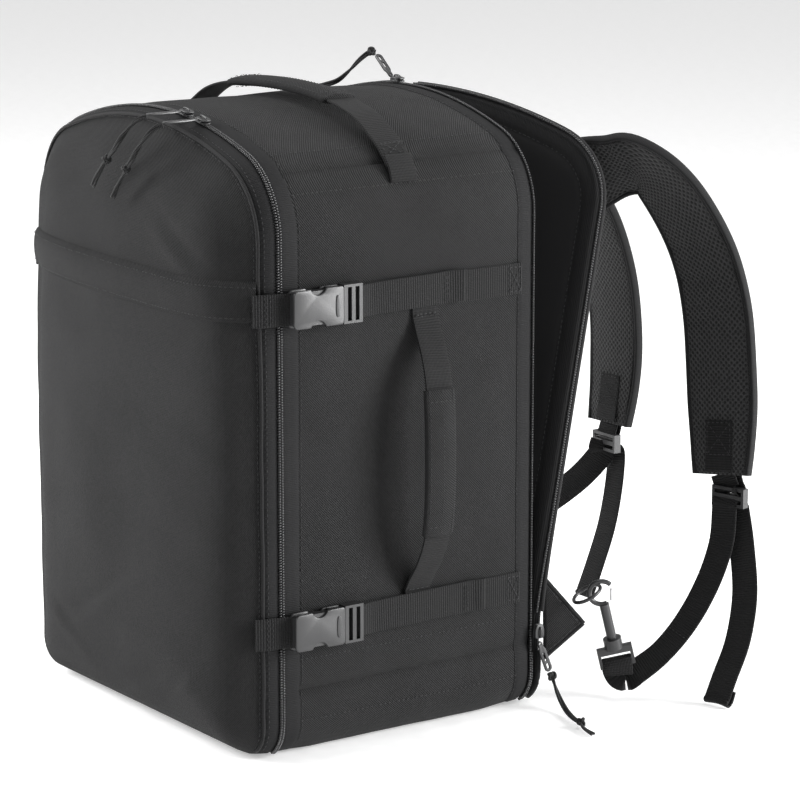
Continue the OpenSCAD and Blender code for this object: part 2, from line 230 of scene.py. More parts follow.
def woven_material(name, colour, pitch, depth, rough=0.86, sheen=0.2, contrast=0.3, wrinkle=0.0):
    """Twill cloth: diagonal ribs that read on any face, broken by yarn noise, with worn, cloudy colour."""
    material, tree, shader = new_material(name, {"Roughness": rough, "Sheen Weight": sheen,
                                                 "Sheen Roughness": 0.45, "Specular IOR Level": 0.22})
    place = add_node(tree, "ShaderNodeTexCoord").outputs["Object"]
    ribs = add_node(tree, "ShaderNodeTexWave", {"Vector": place, "Scale": WAVE_PERIOD / (pitch * MM),
                                                "Distortion": 1.2, "Detail": 1.0, "Detail Scale": 4.0},
                    wave_type="BANDS", bands_direction="DIAGONAL").outputs["Fac"]
    yarn = grain(tree, place, 900.0 / pitch, 3.0, roughness=0.7)
    cloud = grain(tree, place, 14.0, 5.0, roughness=0.62)
    weave = total(tree, ribs, 0.6, yarn, 0.4)
    tone = total(tree, weave, 0.7, cloud, 0.3)
    colour_shader(tree, shader, tone, colour, 1 - contrast, 1 + contrast, 0.32, 0.66)
    folds = None
    if wrinkle:
        soft = grain(tree, place, 11.0, 2.0, roughness=0.45, distortion=0.3)
        folds = add_node(tree, "ShaderNodeBump", {"Height": soft, "Strength": 1.0,
                                                  "Distance": wrinkle * MM}).outputs["Normal"]
    raise_surface(tree, shader, weave, depth * MM, under=folds)
    return material


def ribbed_material(name, colour, rib, depth, across=0.0, rough=0.74, sheen=0.25, contrast=0.32):
    """Webbing or tape: ribs over its width and finer yarns along it, laid by the piece's own UV, in metres."""
    material, tree, shader = new_material(name, {"Roughness": rough, "Sheen Weight": sheen,
                                                 "Specular IOR Level": 0.22})
    place = add_node(tree, "ShaderNodeTexCoord").outputs["UV"]
    parts = add_node(tree, "ShaderNodeSeparateXYZ", {"Vector": place})
    turns = 2 * math.pi / (rib * MM)
    along = math_node(tree, "SINE", math_node(tree, "MULTIPLY", parts.outputs["X"], turns))
    over = math_node(tree, "SINE", math_node(tree, "MULTIPLY", parts.outputs["Y"], turns * (across or 1.7)))
    weave = total(tree, along, 0.5, over, 0.3)
    height = math_node(tree, "ADD", weave, grain(tree, place, 1400.0, 2.0))
    shade = add_node(tree, "ShaderNodeMapRange", {"Value": height, "From Min": -0.5, "From Max": 1.5})
    colour_shader(tree, shader, shade.outputs["Result"], colour, 1 - contrast, 1 + contrast)
    raise_surface(tree, shader, height, depth * MM, 0.9)
    return material


def mesh_material(name, colour, hole):
    """Spacer air mesh: rows of open cells between knitted yarns, with painted shade making the cell floors dark."""
    material, tree, shader = new_material(name, {"Roughness": 0.8, "Sheen Weight": 0.06,
                                                 "Specular IOR Level": 0.3})
    place = add_node(tree, "ShaderNodeTexCoord").outputs["UV"]
    turned = add_node(tree, "ShaderNodeMapping", {"Vector": place, "Rotation": (0, 0, math.radians(45))})
    cells = add_node(tree, "ShaderNodeTexVoronoi", {"Vector": turned.outputs["Vector"],
                                                    "Scale": 1 / (hole * MM), "Randomness": 0.12})
    # rim is 0 at the cell floors, where the painted shade goes, and 1 on the yarns.
    rim = add_node(tree, "ShaderNodeMapRange", {"Value": cells.outputs["Distance"], "From Min": 0.22,
                                                "From Max": 0.5})
    yarn = math_node(tree, "MULTIPLY", grain(tree, place, 1500.0, 2.0), 0.8)
    tone = math_node(tree, "MULTIPLY", rim.outputs["Result"], math_node(tree, "ADD", 0.55, yarn))
    # Painted shade: the cell floors go near black where shade would fall inside the open cells.
    colour_shader(tree, shader, tone, colour, 0.08, 1.7)
    raise_surface(tree, shader, tone, 0.8 * MM)
    return material


SHELL = woven_material("shell_twill", (0.0118, 0.0118, 0.0122), 2.0, 1.0, sheen=0.02, contrast=0.85,
                       wrinkle=3.8)
LINING = woven_material("lining_cloth", (0.006, 0.006, 0.0065), 1.0, 0.1, rough=0.6, sheen=0.05,
                        wrinkle=2.0)
WEBBING = ribbed_material("ribbed_webbing", (0.0052, 0.0052, 0.0055), 2.1, 0.45, sheen=0.03, contrast=0.6)
TAPE = ribbed_material("zip_tape", (0.0055, 0.0055, 0.006), 1.4, 0.2, sheen=0.0)
MESH = mesh_material("air_mesh", (0.0155, 0.0155, 0.016), 3.6)
PIPING = ribbed_material("binding_tape", (0.006, 0.006, 0.0065), 1.3, 0.2, sheen=0.05)
THREAD = ribbed_material("stitch_thread", (0.022, 0.022, 0.023), 0.8, 0.1, sheen=0.1)
CORD = ribbed_material("braided_cord", (0.009, 0.009, 0.0095), 1.3, 0.45, across=1.0, sheen=0.1)
COIL = plain_material("zip_coil", (0.02, 0.02, 0.021), 0.26, 0.2)
PLASTIC = plain_material("moulded_plastic", (0.022, 0.022, 0.023), 0.36, 0.35)
BLACK_METAL = plain_material("painted_metal", (0.013, 0.013, 0.014), 0.4, 0.15, 0.0, 0.15)
STEEL = plain_material("brushed_steel", (0.55, 0.55, 0.56), 0.3, 0.2, 1.0)
BOARD = plain_material("stiffener_board", (0.05, 0.05, 0.052), 0.6, 0.5)

make_camera()
make_stage()


# ---- mesh helpers ----
def smooth_path(points, steps=8):
    """Points along a Catmull-Rom curve through the given ones."""
    points = [Vector(p) for p in points]
    out = []
    for i in range(len(points) - 1):
        a, b = points[max(i - 1, 0)], points[i]
        c, d = points[i + 1], points[min(i + 2, len(points) - 1)]
        for k in range(steps):
            t = k / steps
            out.append(0.5 * (2 * b + (c - a) * t + (2 * a - 5 * b + 4 * c - d) * t * t
                              + (3 * b - a - 3 * c + d) * t ** 3))
    out.append(points[-1])
    return out


def spread(values, count):
    """The given vectors or numbers, linearly resampled to count."""
    out = []
    for i in range(count):
        at = i / max(count - 1, 1) * (len(values) - 1)
        low = min(int(at), len(values) - 2) if len(values) > 1 else 0
        high = min(low + 1, len(values) - 1)
        out.append(values[low] * (1 - (at - low)) + values[high] * (at - low))
    return out


def frames_along(path, across):
    """Tangent, side and up at each point of a path, with across giving the width direction."""
    across = spread([Vector(a) for a in across], len(path))
    out = []
    for i in range(len(path)):
        along = (path[min(i + 1, len(path) - 1)] - path[max(i - 1, 0)]).normalized()
        side = (across[i] - across[i].dot(along) * along).normalized()
        out.append((along, side, along.cross(side)))
    return out


def clean(mesh, weld=0.0):
    """Smooth faces that point outwards, with points closer than weld, in metres, made one."""
    work = bmesh.new()
    work.from_mesh(mesh)
    if weld:
        bmesh.ops.remove_doubles(work, verts=work.verts, dist=weld)
    bmesh.ops.recalc_face_normals(work, faces=work.faces)
    for face in work.faces:
        face.smooth = True
    work.to_mesh(mesh)
    work.free()


def shown(name, mesh, body, replaces=(), split=0.0):
    """A mesh put in the scene on its body, with edges sharper than split degrees split."""
    obj = bpy.data.objects.new(name, mesh)
    bpy.context.scene.collection.objects.link(obj)
    if split:
        obj.modifiers.new("split", "EDGE_SPLIT").split_angle = math.radians(split)
    if body:
        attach(obj, body)
    if replaces:
        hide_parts(*replaces)
    return obj


def piece(name, verts, faces, body, materials, face_mats=None, uvs=None, replaces=(), weld=False):
    """A mesh piece in metres from points in millimetres, riding on a body unless that is None."""
    mesh = bpy.data.meshes.new(name)
    mesh.from_pydata([Vector(v) * MM for v in verts], [], faces)
    for material in materials:
        mesh.materials.append(material)
    if face_mats:
        mesh.polygons.foreach_set("material_index", face_mats)
    layer = mesh.uv_layers.new(name="UVMap")
    if uvs:
        flat = [value * MM for face in uvs for uv in face for value in uv]
        layer.data.foreach_set("uv", flat)
    clean(mesh, 0.02 * MM if weld else 0.0)
    return shown(name, mesh, body, replaces)


def slab(width, thick, radius=None, spans=4, corner=3, crown_top=0.0, crown_base=0.0):
    """Cross-section of a rounded slab: its points and, for each edge, base, side or top."""
    r = min(thick / 2, thick / 2 if radius is None else radius)
    points, kinds = [], []
    flat = width / 2 - r

    def face(sign, crown, kind):
        for i in range(spans + 1):
            u = -flat + 2 * flat * i / spans
            bulge = crown * (1 - (u / flat) ** 2)
            points.append((-sign * u, sign * (thick / 2 + bulge)))
            kinds.append(kind)
        kinds[-1] = "side"

    def turn(sign):
        for i in range(1, 2 * corner):
            a = -math.pi / 2 + math.pi * i / (2 * corner)
            points.append((sign * (flat + r * math.cos(a)), sign * ((thick / 2 - r) * (1 if a > 0 else -1)
                                                                    + r * math.sin(a))))
            kinds.append("side")

    face(-1, crown_base, "base")
    turn(1)
    face(1, crown_top, "top")
    turn(-1)
    return points, kinds


def circle(radius, sides=10):
    points = [(radius * math.cos(2 * math.pi * i / sides), radius * math.sin(2 * math.pi * i / sides))
              for i in range(sides)]
    return points, ["side"] * sides


def swept(path, frames, section, shape=None):
    """Verts, faces, kinds and UVs of a section swept along a path. shape(f) gives scales for u and v."""
    points, kinds = section
    k = len(points)
    rim = [0.0]
    for j in range(k):
        a, b = Vector(points[j]), Vector(points[(j + 1) % k])
        rim.append(rim[-1] + (b - a).length)
    verts, faces, face_kinds, uvs = [], [], [], []
    run = [0.0]
    for i in range(1, len(path)):
        run.append(run[-1] + (path[i] - path[i - 1]).length)
    for i, (along, side, up) in enumerate(frames):
        su, sv = shape(run[i] / run[-1]) if shape else (1, 1)
        for u, v in points:
            verts.append(path[i] + side * (u * su) + up * (v * sv))
    for i in range(len(path) - 1):
        for j in range(k):
            a, b = i * k + j, i * k + (j + 1) % k
            faces.append((a, b, b + k, a + k))
            face_kinds.append(kinds[j])
            uvs.append(((run[i], rim[j]), (run[i], rim[j + 1]), (run[i + 1], rim[j + 1]), (run[i + 1], rim[j])))
    for start in (0, (len(path) - 1) * k):
        faces.append(tuple(range(start, start + k)))
        face_kinds.append("end")
        uvs.append(tuple((u, v) for u, v in points))
    return verts, faces, face_kinds, uvs


def joined(parts):
    """Several (verts, faces, kinds, uvs) as one."""
    verts, faces, kinds, uvs = [], [], [], []
    for v, f, k, t in parts:
        base = len(verts)
        verts += v
        faces += [tuple(base + i for i in face) for face in f]
        kinds += k
        uvs += t
    return verts, faces, kinds, uvs


def swept_piece(name, path, frames, section, body, material, shape=None, replaces=()):
    verts, faces, _, uvs = swept(path, frames, section, shape)
    return piece(name, verts, faces, body, [material], uvs=uvs, replaces=replaces)


def strap(name, body, material, runs, replaces=(), width=WEBBING_W, thick=1.8):
    """Flat webbing over one or more runs of (points, across)."""
    parts = []
    for points, across in runs:
        path = smooth_path(points)
        parts.append(swept(path, frames_along(path, across), slab(width, thick)))
    verts, faces, _, uvs = joined(parts)
    return piece(name, verts, faces, body, [material], uvs=uvs, replaces=replaces)


def stitches(name, body, rows, length=2.8, gap=1.5, width=0.75, rise=0.35):
    """Rows of thread stitches: each row is (points, normals) lying on a surface."""
    verts, faces, uvs = [], [], []
    for points, normals in rows:
        points = [Vector(p) for p in points]
        run = 0.0
        for i in range(len(points) - 1):
            step = points[i + 1] - points[i]
            span = step.length
            if span < 1e-6:
                continue
            along = step / span
            normal = Vector(normals[min(i, len(normals) - 1)]).normalized()
            side = along.cross(normal)
            while run < span:
                a = points[i] + along * run
                b = points[i] + along * min(run + length, span + 0.4)
                base = len(verts)
                mid = (a + b) / 2 + normal * rise
                for spot, w in ((a, 0.25), (a * 0.7 + b * 0.3 + normal * rise * 0.8, 0.5), (mid, 0.55),
                                (a * 0.3 + b * 0.7 + normal * rise * 0.8, 0.5), (b, 0.25)):
                    verts.append(spot - side * width * w)
                    verts.append(spot + normal * width * 0.5)
                    verts.append(spot + side * width * w)
                for ring in range(4):
                    for j in range(2):
                        c = base + ring * 3 + j
                        faces.append((c, c + 1, c + 4, c + 3))
                        uvs.append(((0, j), (0, j + 1), (1, j + 1), (1, j)))
                run += length + gap
            run -= span
    return piece(name, verts, faces, body, [THREAD], uvs=uvs)


def half_ring(inset):
    """Half outline of the front view at an inset, from the middle of the base to the middle of the top."""
    w = HALF_W - inset
    rt, rb = max(TOP_R - inset, 14.0), max(BASE_R - inset * 0.8, 10.0)
    shoulder = BODY_H - inset - CROWN - rt * math.sin(TURN)
    shoulder = min(shoulder, SHOULDER_Z) if inset < TOP_R - 14 else shoulder
    crown_x = w - rt + rt * math.cos(TURN)
    crown_z = shoulder + rt * math.sin(TURN)
    top = BODY_H - inset
    base_n, low_n, side_n, high_n, top_n = 14, 8, 46, 12, 16
    out = [((w - rb) * i / base_n, inset) for i in range(base_n)]
    for i in range(low_n):
        a = math.pi / 2 * i / low_n
        out.append((w - rb + rb * math.sin(a), inset + rb - rb * math.cos(a)))
    out += [(w, inset + rb + (shoulder - inset - rb) * i / side_n) for i in range(side_n)]
    for i in range(high_n):
        a = TURN * i / high_n
        out.append((w - rt + rt * math.cos(a), shoulder + rt * math.sin(a)))
    out += [(crown_x * (1 - i / top_n), top - (top - crown_z) * (1 - i / top_n) ** 2) for i in range(top_n + 1)]
    return out


def ring(inset):
    """Closed outline at an inset as (x, z), the same number of points for every inset."""
    half = half_ring(inset)
    return half + [(-x, z) for x, z in reversed(half[1:-1])]


RING = ring(0)
RING_N = len(RING)


def ring_out(i):
    """Outward direction of the outline at point i, as (x, z)."""
    a, b = RING[i - 1], RING[(i + 1) % RING_N]
    return Vector((b[1] - a[1], a[0] - b[0])).normalized()


def across_and_up(points):
    """A face's UV in the front view, from its corners."""
    return tuple((p[0], p[2]) for p in points)


def layered_faces(rings):
    """Faces over an outer and an inner layer of nested outlines, each as (corners, layer).

    Each layer is closed in its middle, and the last faces, with layer None, join the two outer rims.
    """
    n = RING_N
    half = (rings + 1) * n
    out = []
    for layer in (0, 1):
        for r in range(rings):
            base = layer * half + r * n
            for i in range(n):
                a, b = base + i, base + (i + 1) % n
                out.append(((a, b, b + n, a + n), layer))
        last = layer * half + rings * n
        for i in range(n // 2):
            a, b = last + i, last + i + 1
            c, d = last + (n - i - 1) % n, last + (n - i) % n
            corners = (a, b, c, d) if a != d and b != c else ((a, b, c) if a == d else (a, b, d))
            out.append((corners, layer))
    out += [((i, (i + 1) % n, half + (i + 1) % n, half + i), None) for i in range(n)]
    return out


def ease(x):
    x = min(max(x, 0.0), 1.0)
    return x * x * (3 - 2 * x)


def ripple(p, scale, stretch=(1, 1, 1), seed=0.0):
    """Smooth noise in -1..1 at a point in millimetres."""
    return noise.noise(Vector((p[0] * stretch[0] / scale + seed, p[1] * stretch[1] / scale,
                               p[2] * stretch[2] / scale)))


# ---- body: four panels round the compartment ----
def panel_bulge(i, y):
    """How far the shell stands out of the CAD outline at outline point i and depth y."""
    x, z = RING[i]
    edge = min(ZIP_Y - 1 - abs(y), 40) / 40
    bulge = 2.2 * ease(edge)
    p = (x, y, z)
    bulge += 1.6 * ripple(p, 95, (1, 1, 0.7), 3.1) * ease(edge)
    bulge += 0.7 * ripple(p, 34, (1, 1, 0.55), 7.7) * ease(edge * 2)
    for seam_z in (SEAM_TOP, SEAM_BASE):
        gap = abs(z - seam_z) / SEAM_REACH
        if abs(x) > 90 and gap < 1:
            bulge -= 2.6 * (1 - gap) ** 2
    return bulge


def ring_index(z, side):
    """Outline point nearest a height, on the near (+1) or far (-1) side."""
    return min((i for i in range(RING_N) if RING[i][0] * side > 90), key=lambda i: abs(RING[i][1] - z))


def shell_panel(name, first, last, node):
    """One fabric panel of the body between two outline points, with its lining inside."""
    count = (last - first) % RING_N + 1
    steps = 34
    depth = [-ZIP_Y + 2.3 + (2 * ZIP_Y - 4.6) * k / steps for k in range(steps + 1)]
    verts, faces, mats, uvs = [], [], [], []
    for layer in (0, 1):
        for c in range(count):
            i = (first + c) % RING_N
            x, z = RING[i]
            out = ring_out(i)
            for y in depth:
                off = panel_bulge(i, y) if layer == 0 else -4.6
                verts.append((x + out.x * off, y, max(z + out.y * off, 0.25)))
    wide = steps + 1
    half = count * wide

    def quad(a, b, c, d, material):
        faces.append((a, b, c, d))
        mats.append(material)
        uvs.append(tuple((verts[v][1], verts[v][2]) for v in (a, b, c, d)))

    for c in range(count - 1):
        for k in range(steps):
            a = c * wide + k
            quad(a, a + 1, a + wide + 1, a + wide, 0)
            quad(half + a, half + a + wide, half + a + wide + 1, half + a + 1, 1)
    for c in range(count - 1):
        for k in (0, steps):
            a = c * wide + k
            quad(a, a + wide, half + a + wide, half + a, 0)
    for k in range(steps):
        for c in (0, count - 1):
            a = c * wide + k
            quad(a, a + 1, half + a + 1, half + a, 0)
    return piece(name, verts, faces, "root", [SHELL, LINING], mats, uvs, (node,))


SIDE_LOW, SIDE_HIGH = ring_index(SEAM_BASE, 1), ring_index(SEAM_TOP, 1)
FAR_LOW, FAR_HIGH = ring_index(SEAM_BASE, -1), ring_index(SEAM_TOP, -1)
shell_panel("near_side_shell", SIDE_LOW, SIDE_HIGH, "near_side_panel")
shell_panel("top_shell", SIDE_HIGH, FAR_HIGH, "top_panel")
shell_panel("far_side_shell", FAR_HIGH, FAR_LOW, "far_side_panel")
shell_panel("base_shell", FAR_LOW, SIDE_LOW, "base_panel")


def on_body(i, y, rise=0.3):
    """A point on the bulging shell at outline point i and depth y, raised off it."""
    x, z = RING[i % RING_N]
    out = ring_out(i % RING_N)
    off = panel_bulge(i % RING_N, y) + rise
    return Vector((x + out.x * off, y, z + out.y * off))


def level_out(i):
    out = ring_out(i % RING_N)
    return Vector((out.x, 0, out.y))


def body_row(i_list, y):
    return ([on_body(i, y) for i in i_list],
            [level_out(i) for i in i_list])


def cross_row(i, rise=0.3):
    steps = 40
    ys = [-112 + 224 * k / steps for k in range(steps + 1)]
    return [on_body(i, y, rise) for y in ys], [level_out(i)] * (steps + 1)


around = [i for i in range(RING_N) if RING[i][1] > 12]
near_half = [i for i in around if RING[i][0] >= 0]
far_half = [i for i in around if RING[i][0] <= 0]
seam_rows = [body_row(near_half, -101.5), body_row(far_half, -101.5), body_row(near_half, 104),
             body_row(far_half, 104)]
for seam in (SIDE_HIGH, SIDE_LOW, FAR_HIGH, FAR_LOW):
    seam_rows += [cross_row(seam + 3), cross_row(seam - 3)]
stitches("body_seam_stitching", "root", seam_rows)


# ---- zips: tapes and coil teeth round the outline ----
def ring_band(name, body, indices, y0, y1, rise, material, place=None, thick=0.9, replaces=()):
    """A thin strip that lies on the outline between depths y0 and y1."""
    steps = 5
    verts, faces, uvs = [], [], []
    place = place or on_body
    run = 0.0
    runs = []
    for c, i in enumerate(indices):
        if c:
            run += (place(i, y0, 0) - place(indices[c - 1], y0, 0)).length
        runs.append(run)
        for k in range(steps + 1):
            y = y0 + (y1 - y0) * k / steps
            edge = 0.0 if k in (0, steps) else 1.0
            verts.append(place(i, y, rise + thick * edge))
        for k in range(steps + 1):
            y = y0 + (y1 - y0) * k / steps
            verts.append(place(i, y, rise - 0.5))
    wide = 2 * (steps + 1)
    for c in range(len(indices) - 1):
        for k in range(wide):
            a, b = c * wide + k, c * wide + (k + 1) % wide
            if k == steps or k == wide - 1:
                continue
            if k > steps:
                a, b = b, a
            faces.append((a, b, b + wide, a + wide))
            v0, v1 = abs(verts[a][1]), abs(verts[b][1])
            uvs.append(((runs[c], v0), (runs[c], v1), (runs[c + 1], v1), (runs[c + 1], v0)))
    return piece(name, verts, faces, body, [material], uvs=uvs, replaces=replaces, weld=True)


def teeth(name, body, line, out_of, across, pitch=2.1, phase=0.0, width=2.4, height=2.3, replaces=()):
    """Coil teeth along a line: line(i) and out_of(i) give place and outward direction at dense points."""
    verts, faces = [], []
    run, target = 0.0, phase * pitch
    for c in range(len(line) - 1):
        a, b = line[c], line[c + 1]
        span = (b - a).length
        if span < 1e-6:
            continue
        along = (b - a) / span
        while run + span >= target:
            at = a + along * (target - run)
            up = out_of[c]
            side = across[c] if isinstance(across, list) else across
            base = len(verts)
            for h, w, t in ((0.0, 1.0, 1.0), (0.75, 1.0, 0.95), (1.0, 0.72, 0.55)):
                for s, q in ((-1, -1), (1, -1), (1, 1), (-1, 1)):
                    verts.append(at + up * (height * h) + side * (s * width * 0.5 * w)
                                 + along * (q * pitch * 0.34 * t))
            for r in range(2):
                for j in range(4):
                    p, q = base + r * 4 + j, base + r * 4 + (j + 1) % 4
                    faces.append((p, q, q + 4, p + 4))
            faces.append((base + 8, base + 9, base + 10, base + 11))
            faces.append((base + 3, base + 2, base + 1, base))
            target += pitch
        run += span
    return piece(name, verts, faces, body, [COIL], replaces=replaces)


def ring_line(indices, y, rise):
    """Points, outward directions along the bare outline at depth y."""
    line, outs = [], []
    for i in indices:
        x, z = RING[i % RING_N]
        out = ring_out(i % RING_N)
        line.append(Vector((x + out.x * rise, y, z + out.y * rise)))
        outs.append(Vector((out.x, 0, out.y)))
    return line, outs


zip_run = [i for i in range(RING_N) if RING[i][1] > 4]
ring_band("front_zip_body_tape", "root", zip_run, -118.6, -103.5, 0.2, TAPE,
          replaces=("front_zip_body_side",))
line, outs = ring_line(zip_run, -118.9, 0.3)
teeth("front_zip_body_coil", "root", line, outs, Vector((0, 1, 0)), phase=0.0, width=2.2)
line, outs = ring_line(zip_run, -121.3, 0.3)
teeth("front_zip_lid_coil", "front_lid", line, outs, Vector((0, 1, 0)), phase=0.5, width=2.2,
      replaces=("front_zip_lid_side",))


# ---- front lid ----
LID_PROFILE = ((-121.6, -0.3), (-124, 0.0), (-128, 0.6), (-133, 1.6), (-134.6, 2.2), (-137, 3.4), (-141, 5.4),
               (-146, 8.6), (-150, 11.6), (-154, 15.4), (-157.5, 19.5), (-160.4, 24.5), (-162.6, 30), (-164.4, 37),
               (-165.8, 45), (-166.9, 55), (-167.7, 67), (-168.3, 80), (-168.7, 94), (-169.0, 108),
               (-169.2, 122), (-169.3, 136), (-169.3, 150))
LID_RINGS = 64


def lid_profile(t):
    """Depth and inset at t along the lid's section, from its zip at 0 to the middle of its face at 1."""
    at = t * (len(LID_PROFILE) - 1)
    low = min(int(at), len(LID_PROFILE) - 2)
    f = at - low
    a, b = LID_PROFILE[low], LID_PROFILE[low + 1]
    return a[0] * (1 - f) + b[0] * f, a[1] * (1 - f) + b[1] * f


def lid_shape(x, y, z, t):
    """Slack of the cloth: the upper part narrows and droops, the face sags low down, and folds cross it."""
    deep = ease((-122 - y) / 36)
    high = ease((z - 250) / 230)
    x *= 1 - 0.075 * high * deep
    z -= 7 * high * deep
    y += 5.5 * ease((z - 330) / 150) * deep
    y += 8 * ease((-10 - x) / 140) * ease((-146 - y) / 16)
    face = ease((t - 0.25) / 0.3)
    sag = math.exp(-((z - 150) / 130) ** 2) * face
    y -= 2.8 * sag * math.cos(x / HALF_W * 1.2)
    y -= 2.1 * ripple((x, 0, z), 120, (1, 1, 0.8), 1.4) * face
    y -= 1.3 * ripple((x, 0, z), 46, (0.8, 1, 1.3), 5.2) * face
    gusset = ease((t - 0.08) / 0.12) * (1 - ease((t - 0.5) / 0.2))
    off = 2.2 * ripple((x, y, z), 42, (0.7, 0.5, 1.15), 9.3) * gusset
    for fx, fz, turn, long, tall in ((-20, 96, 0.5, 60, 2.4), (40, 40, 0.35, 46, 2.6), (104, 60, 0.7, 30, 2.2),
                                     (118, 250, -0.25, 22, 1.4), (128, 330, 0.3, 26, 1.8), (-90, 60, -0.4, 40, 1.8),
                                     (96, 395, -0.5, 34, 3.6), (-70, 420, 0.25, 46, 2.4)):
        u = (x - fx) * math.cos(turn) + (z - fz) * math.sin(turn)
        v = -(x - fx) * math.sin(turn) + (z - fz) * math.cos(turn)
        y += tall * math.exp(-(u / long) ** 2) * (v / 9) * math.exp(-(v / 9) ** 2) * 1.2 * face
    return Vector((x - off * (1 if x > 0 else -1) * 0.6, y, max(z, 0.6)))


def lid_surface():
    """Outer grid of the lid: rings from the zip to the middle of the face."""
    rings = []
    for r in range(LID_RINGS + 1):
        t = r / LID_RINGS
        y, inset = lid_profile(t)
        rings.append([lid_shape(x, y, z, t) for x, z in ring(inset)])
    return rings


def lid_piece():
    """The lid's cloth, 3.4 mm thick with its lining, and the rings of its outer face."""
    rings = lid_surface()
    verts = []
    for layer, depth in ((0, 0.0), (1, 3.4)):
        for r, points in enumerate(rings):
            for i, p in enumerate(points):
                if layer:
                    q = points[(i + 1) % RING_N] - points[i - 1]
                    out = Vector((q.z, 0, -q.x)).normalized()
                    flat = ease((r / LID_RINGS - 0.2) / 0.35)
                    p = p - out * depth * (1 - flat) + Vector((0, depth * flat, 0))
                verts.append(p)
    parts = layered_faces(LID_RINGS)
    faces = [corners for corners, _ in parts]
    obj = piece("lid_shell", verts, faces, "front_lid", [SHELL, LINING],
                [layer or 0 for _, layer in parts],
                [across_and_up([verts[v] for v in corners]) for corners in faces], ("lid_gusset", "lid_panel"))
    return obj, rings


lid, lid_rings = lid_piece()
lid_tree = BVHTree.FromObject(lid, bpy.context.evaluated_depsgraph_get())


def lid_hit(origin, direction):
    """Where a ray meets the lid's cloth, and its outward normal, in millimetres."""
    found = lid_tree.ray_cast(Vector(origin) * MM, Vector(direction).normalized())
    if found[0] is None:
        return None
    normal = found[1]
    if normal.dot(Vector(direction)) > 0:
        normal = -normal
    return found[0] / MM, normal


def lid_wrap(z, steps=90, reach=0.0):
    """Points and normals round the lid at height z, from the near zip tape to the far one."""
    out = []
    for k in range(steps + 1):
        turn = math.pi * (-0.03 + 1.06 * k / steps)
        x = 230 * math.cos(turn)
        y = -128 - 90 * math.sin(turn) if math.sin(turn) > 0 else -128
        aim_at = Vector((x * 0.55, -112, z))
        hit = lid_hit((x, y - 10, z), aim_at - Vector((x, y - 10, z)))
        if hit and hit[0].y < -134.6 - reach:
            out.append(hit)
    return out


def lid_strip(name, levels, rise, material, replaces=()):
    """A strip of cloth sewn over the lid, with rows at the given (height, extra rise)."""
    n = 110
    verts, faces, uvs = [], [], []
    for z, extra in levels:
        row = lid_wrap(z)
        line = spread([p for p, _ in row], n)
        normals = spread([normal for _, normal in row], n)
        verts += [p + normal * (rise + extra) for p, normal in zip(line, normals)]
    for r in range(len(levels) - 1):
        for i in range(n - 1):
            a = r * n + i
            faces.append((a, a + 1, a + n + 1, a + n))
            corners = ((i, r), (i + 1, r), (i + 1, r + 1), (i, r + 1))
            uvs.append(tuple((step * 4.0, levels[level][0]) for step, level in corners))
    return piece(name, verts, faces, "front_lid", [material], uvs=uvs, replaces=replaces)


band_levels = [(345.5, -0.8), (347, 0.7), (350, 1.8), (356, 2.8), (362, 3.2), (368, 2.9), (373, 2.0), (375.5, 0.8),
               (377, -0.8)]
lid_strip("lid_band_cloth", band_levels, 0.6, SHELL, ("lid_band",))
band_rows = []
for z in (372.4, 349.2):
    row = lid_wrap(z)
    band_rows.append(([p + n * 3.0 for p, n in row], [n for _, n in row]))
stitches("lid_band_stitching", "front_lid", band_rows)


def lid_place(i, y, rise):
    """A point over the lid's section at outline point i and depth y."""
    at = next(r for r in range(LID_RINGS + 1) if lid_profile(r / LID_RINGS)[0] <= y or r == LID_RINGS)
    p = lid_rings[at][i % RING_N].copy()
    p.y = y
    out = ring_out(i % RING_N)
    return p + Vector((out.x, 0, out.y)) * rise


ring_band("front_zip_lid_tape", "front_lid", zip_run, -122.0, -133.5, 0.2, TAPE, place=lid_place)
near_lid = [i for i in range(RING_N) if RING[i][1] > 8 and RING[i][0] >= 0]
far_lid = [i for i in range(RING_N) if RING[i][1] > 8 and RING[i][0] <= 0]
lid_seams = []
for run in (near_lid, far_lid):
    outs = [Vector((ring_out(i).x, -0.3, ring_out(i).y)) for i in run]
    lid_seams.append(([lid_place(i, -131.2, 1.1) for i in run], outs))
    lid_seams.append(([lid_place(i, -137.5, 0.5) for i in run], outs))
stitches("lid_edge_stitching", "front_lid", lid_seams)


# A direction that no round piece runs along.
ASKEW = [Vector((0.31, 0.12, 0.94))]


def tube(name, points, radius, body, material, steps=6):
    path = smooth_path(points, steps)
    return swept_piece(name, path, frames_along(path, ASKEW), circle(radius), body, material)


tube("lid_piping", [lid_place(i, -135, 0.9) for i in range(RING_N) if RING[i][1] > 3], 1.5, "front_lid",
     PIPING, steps=1)


# ---- back panel and laptop flap: one padded panel that bends along the fold ----
FOLD_FROM, FOLD_TO, FOLD_STEP = -22.0, 40.0, 1.0
FOLD_REACH = 420


def fold_section():
    """The fold seen along its line: place in the panel's plane, place out of it, and turn, at each step."""
    out = []
    x, y = FOLD_FROM, 0.0
    for k in range(FOLD_REACH):
        turn = FLAP_OPEN * ease(k * FOLD_STEP / (FOLD_TO - FOLD_FROM))
        out.append((x, y, turn))
        x += math.cos(turn) * FOLD_STEP
        y += math.sin(turn) * FOLD_STEP
    return out


FOLD_LINE = fold_section()


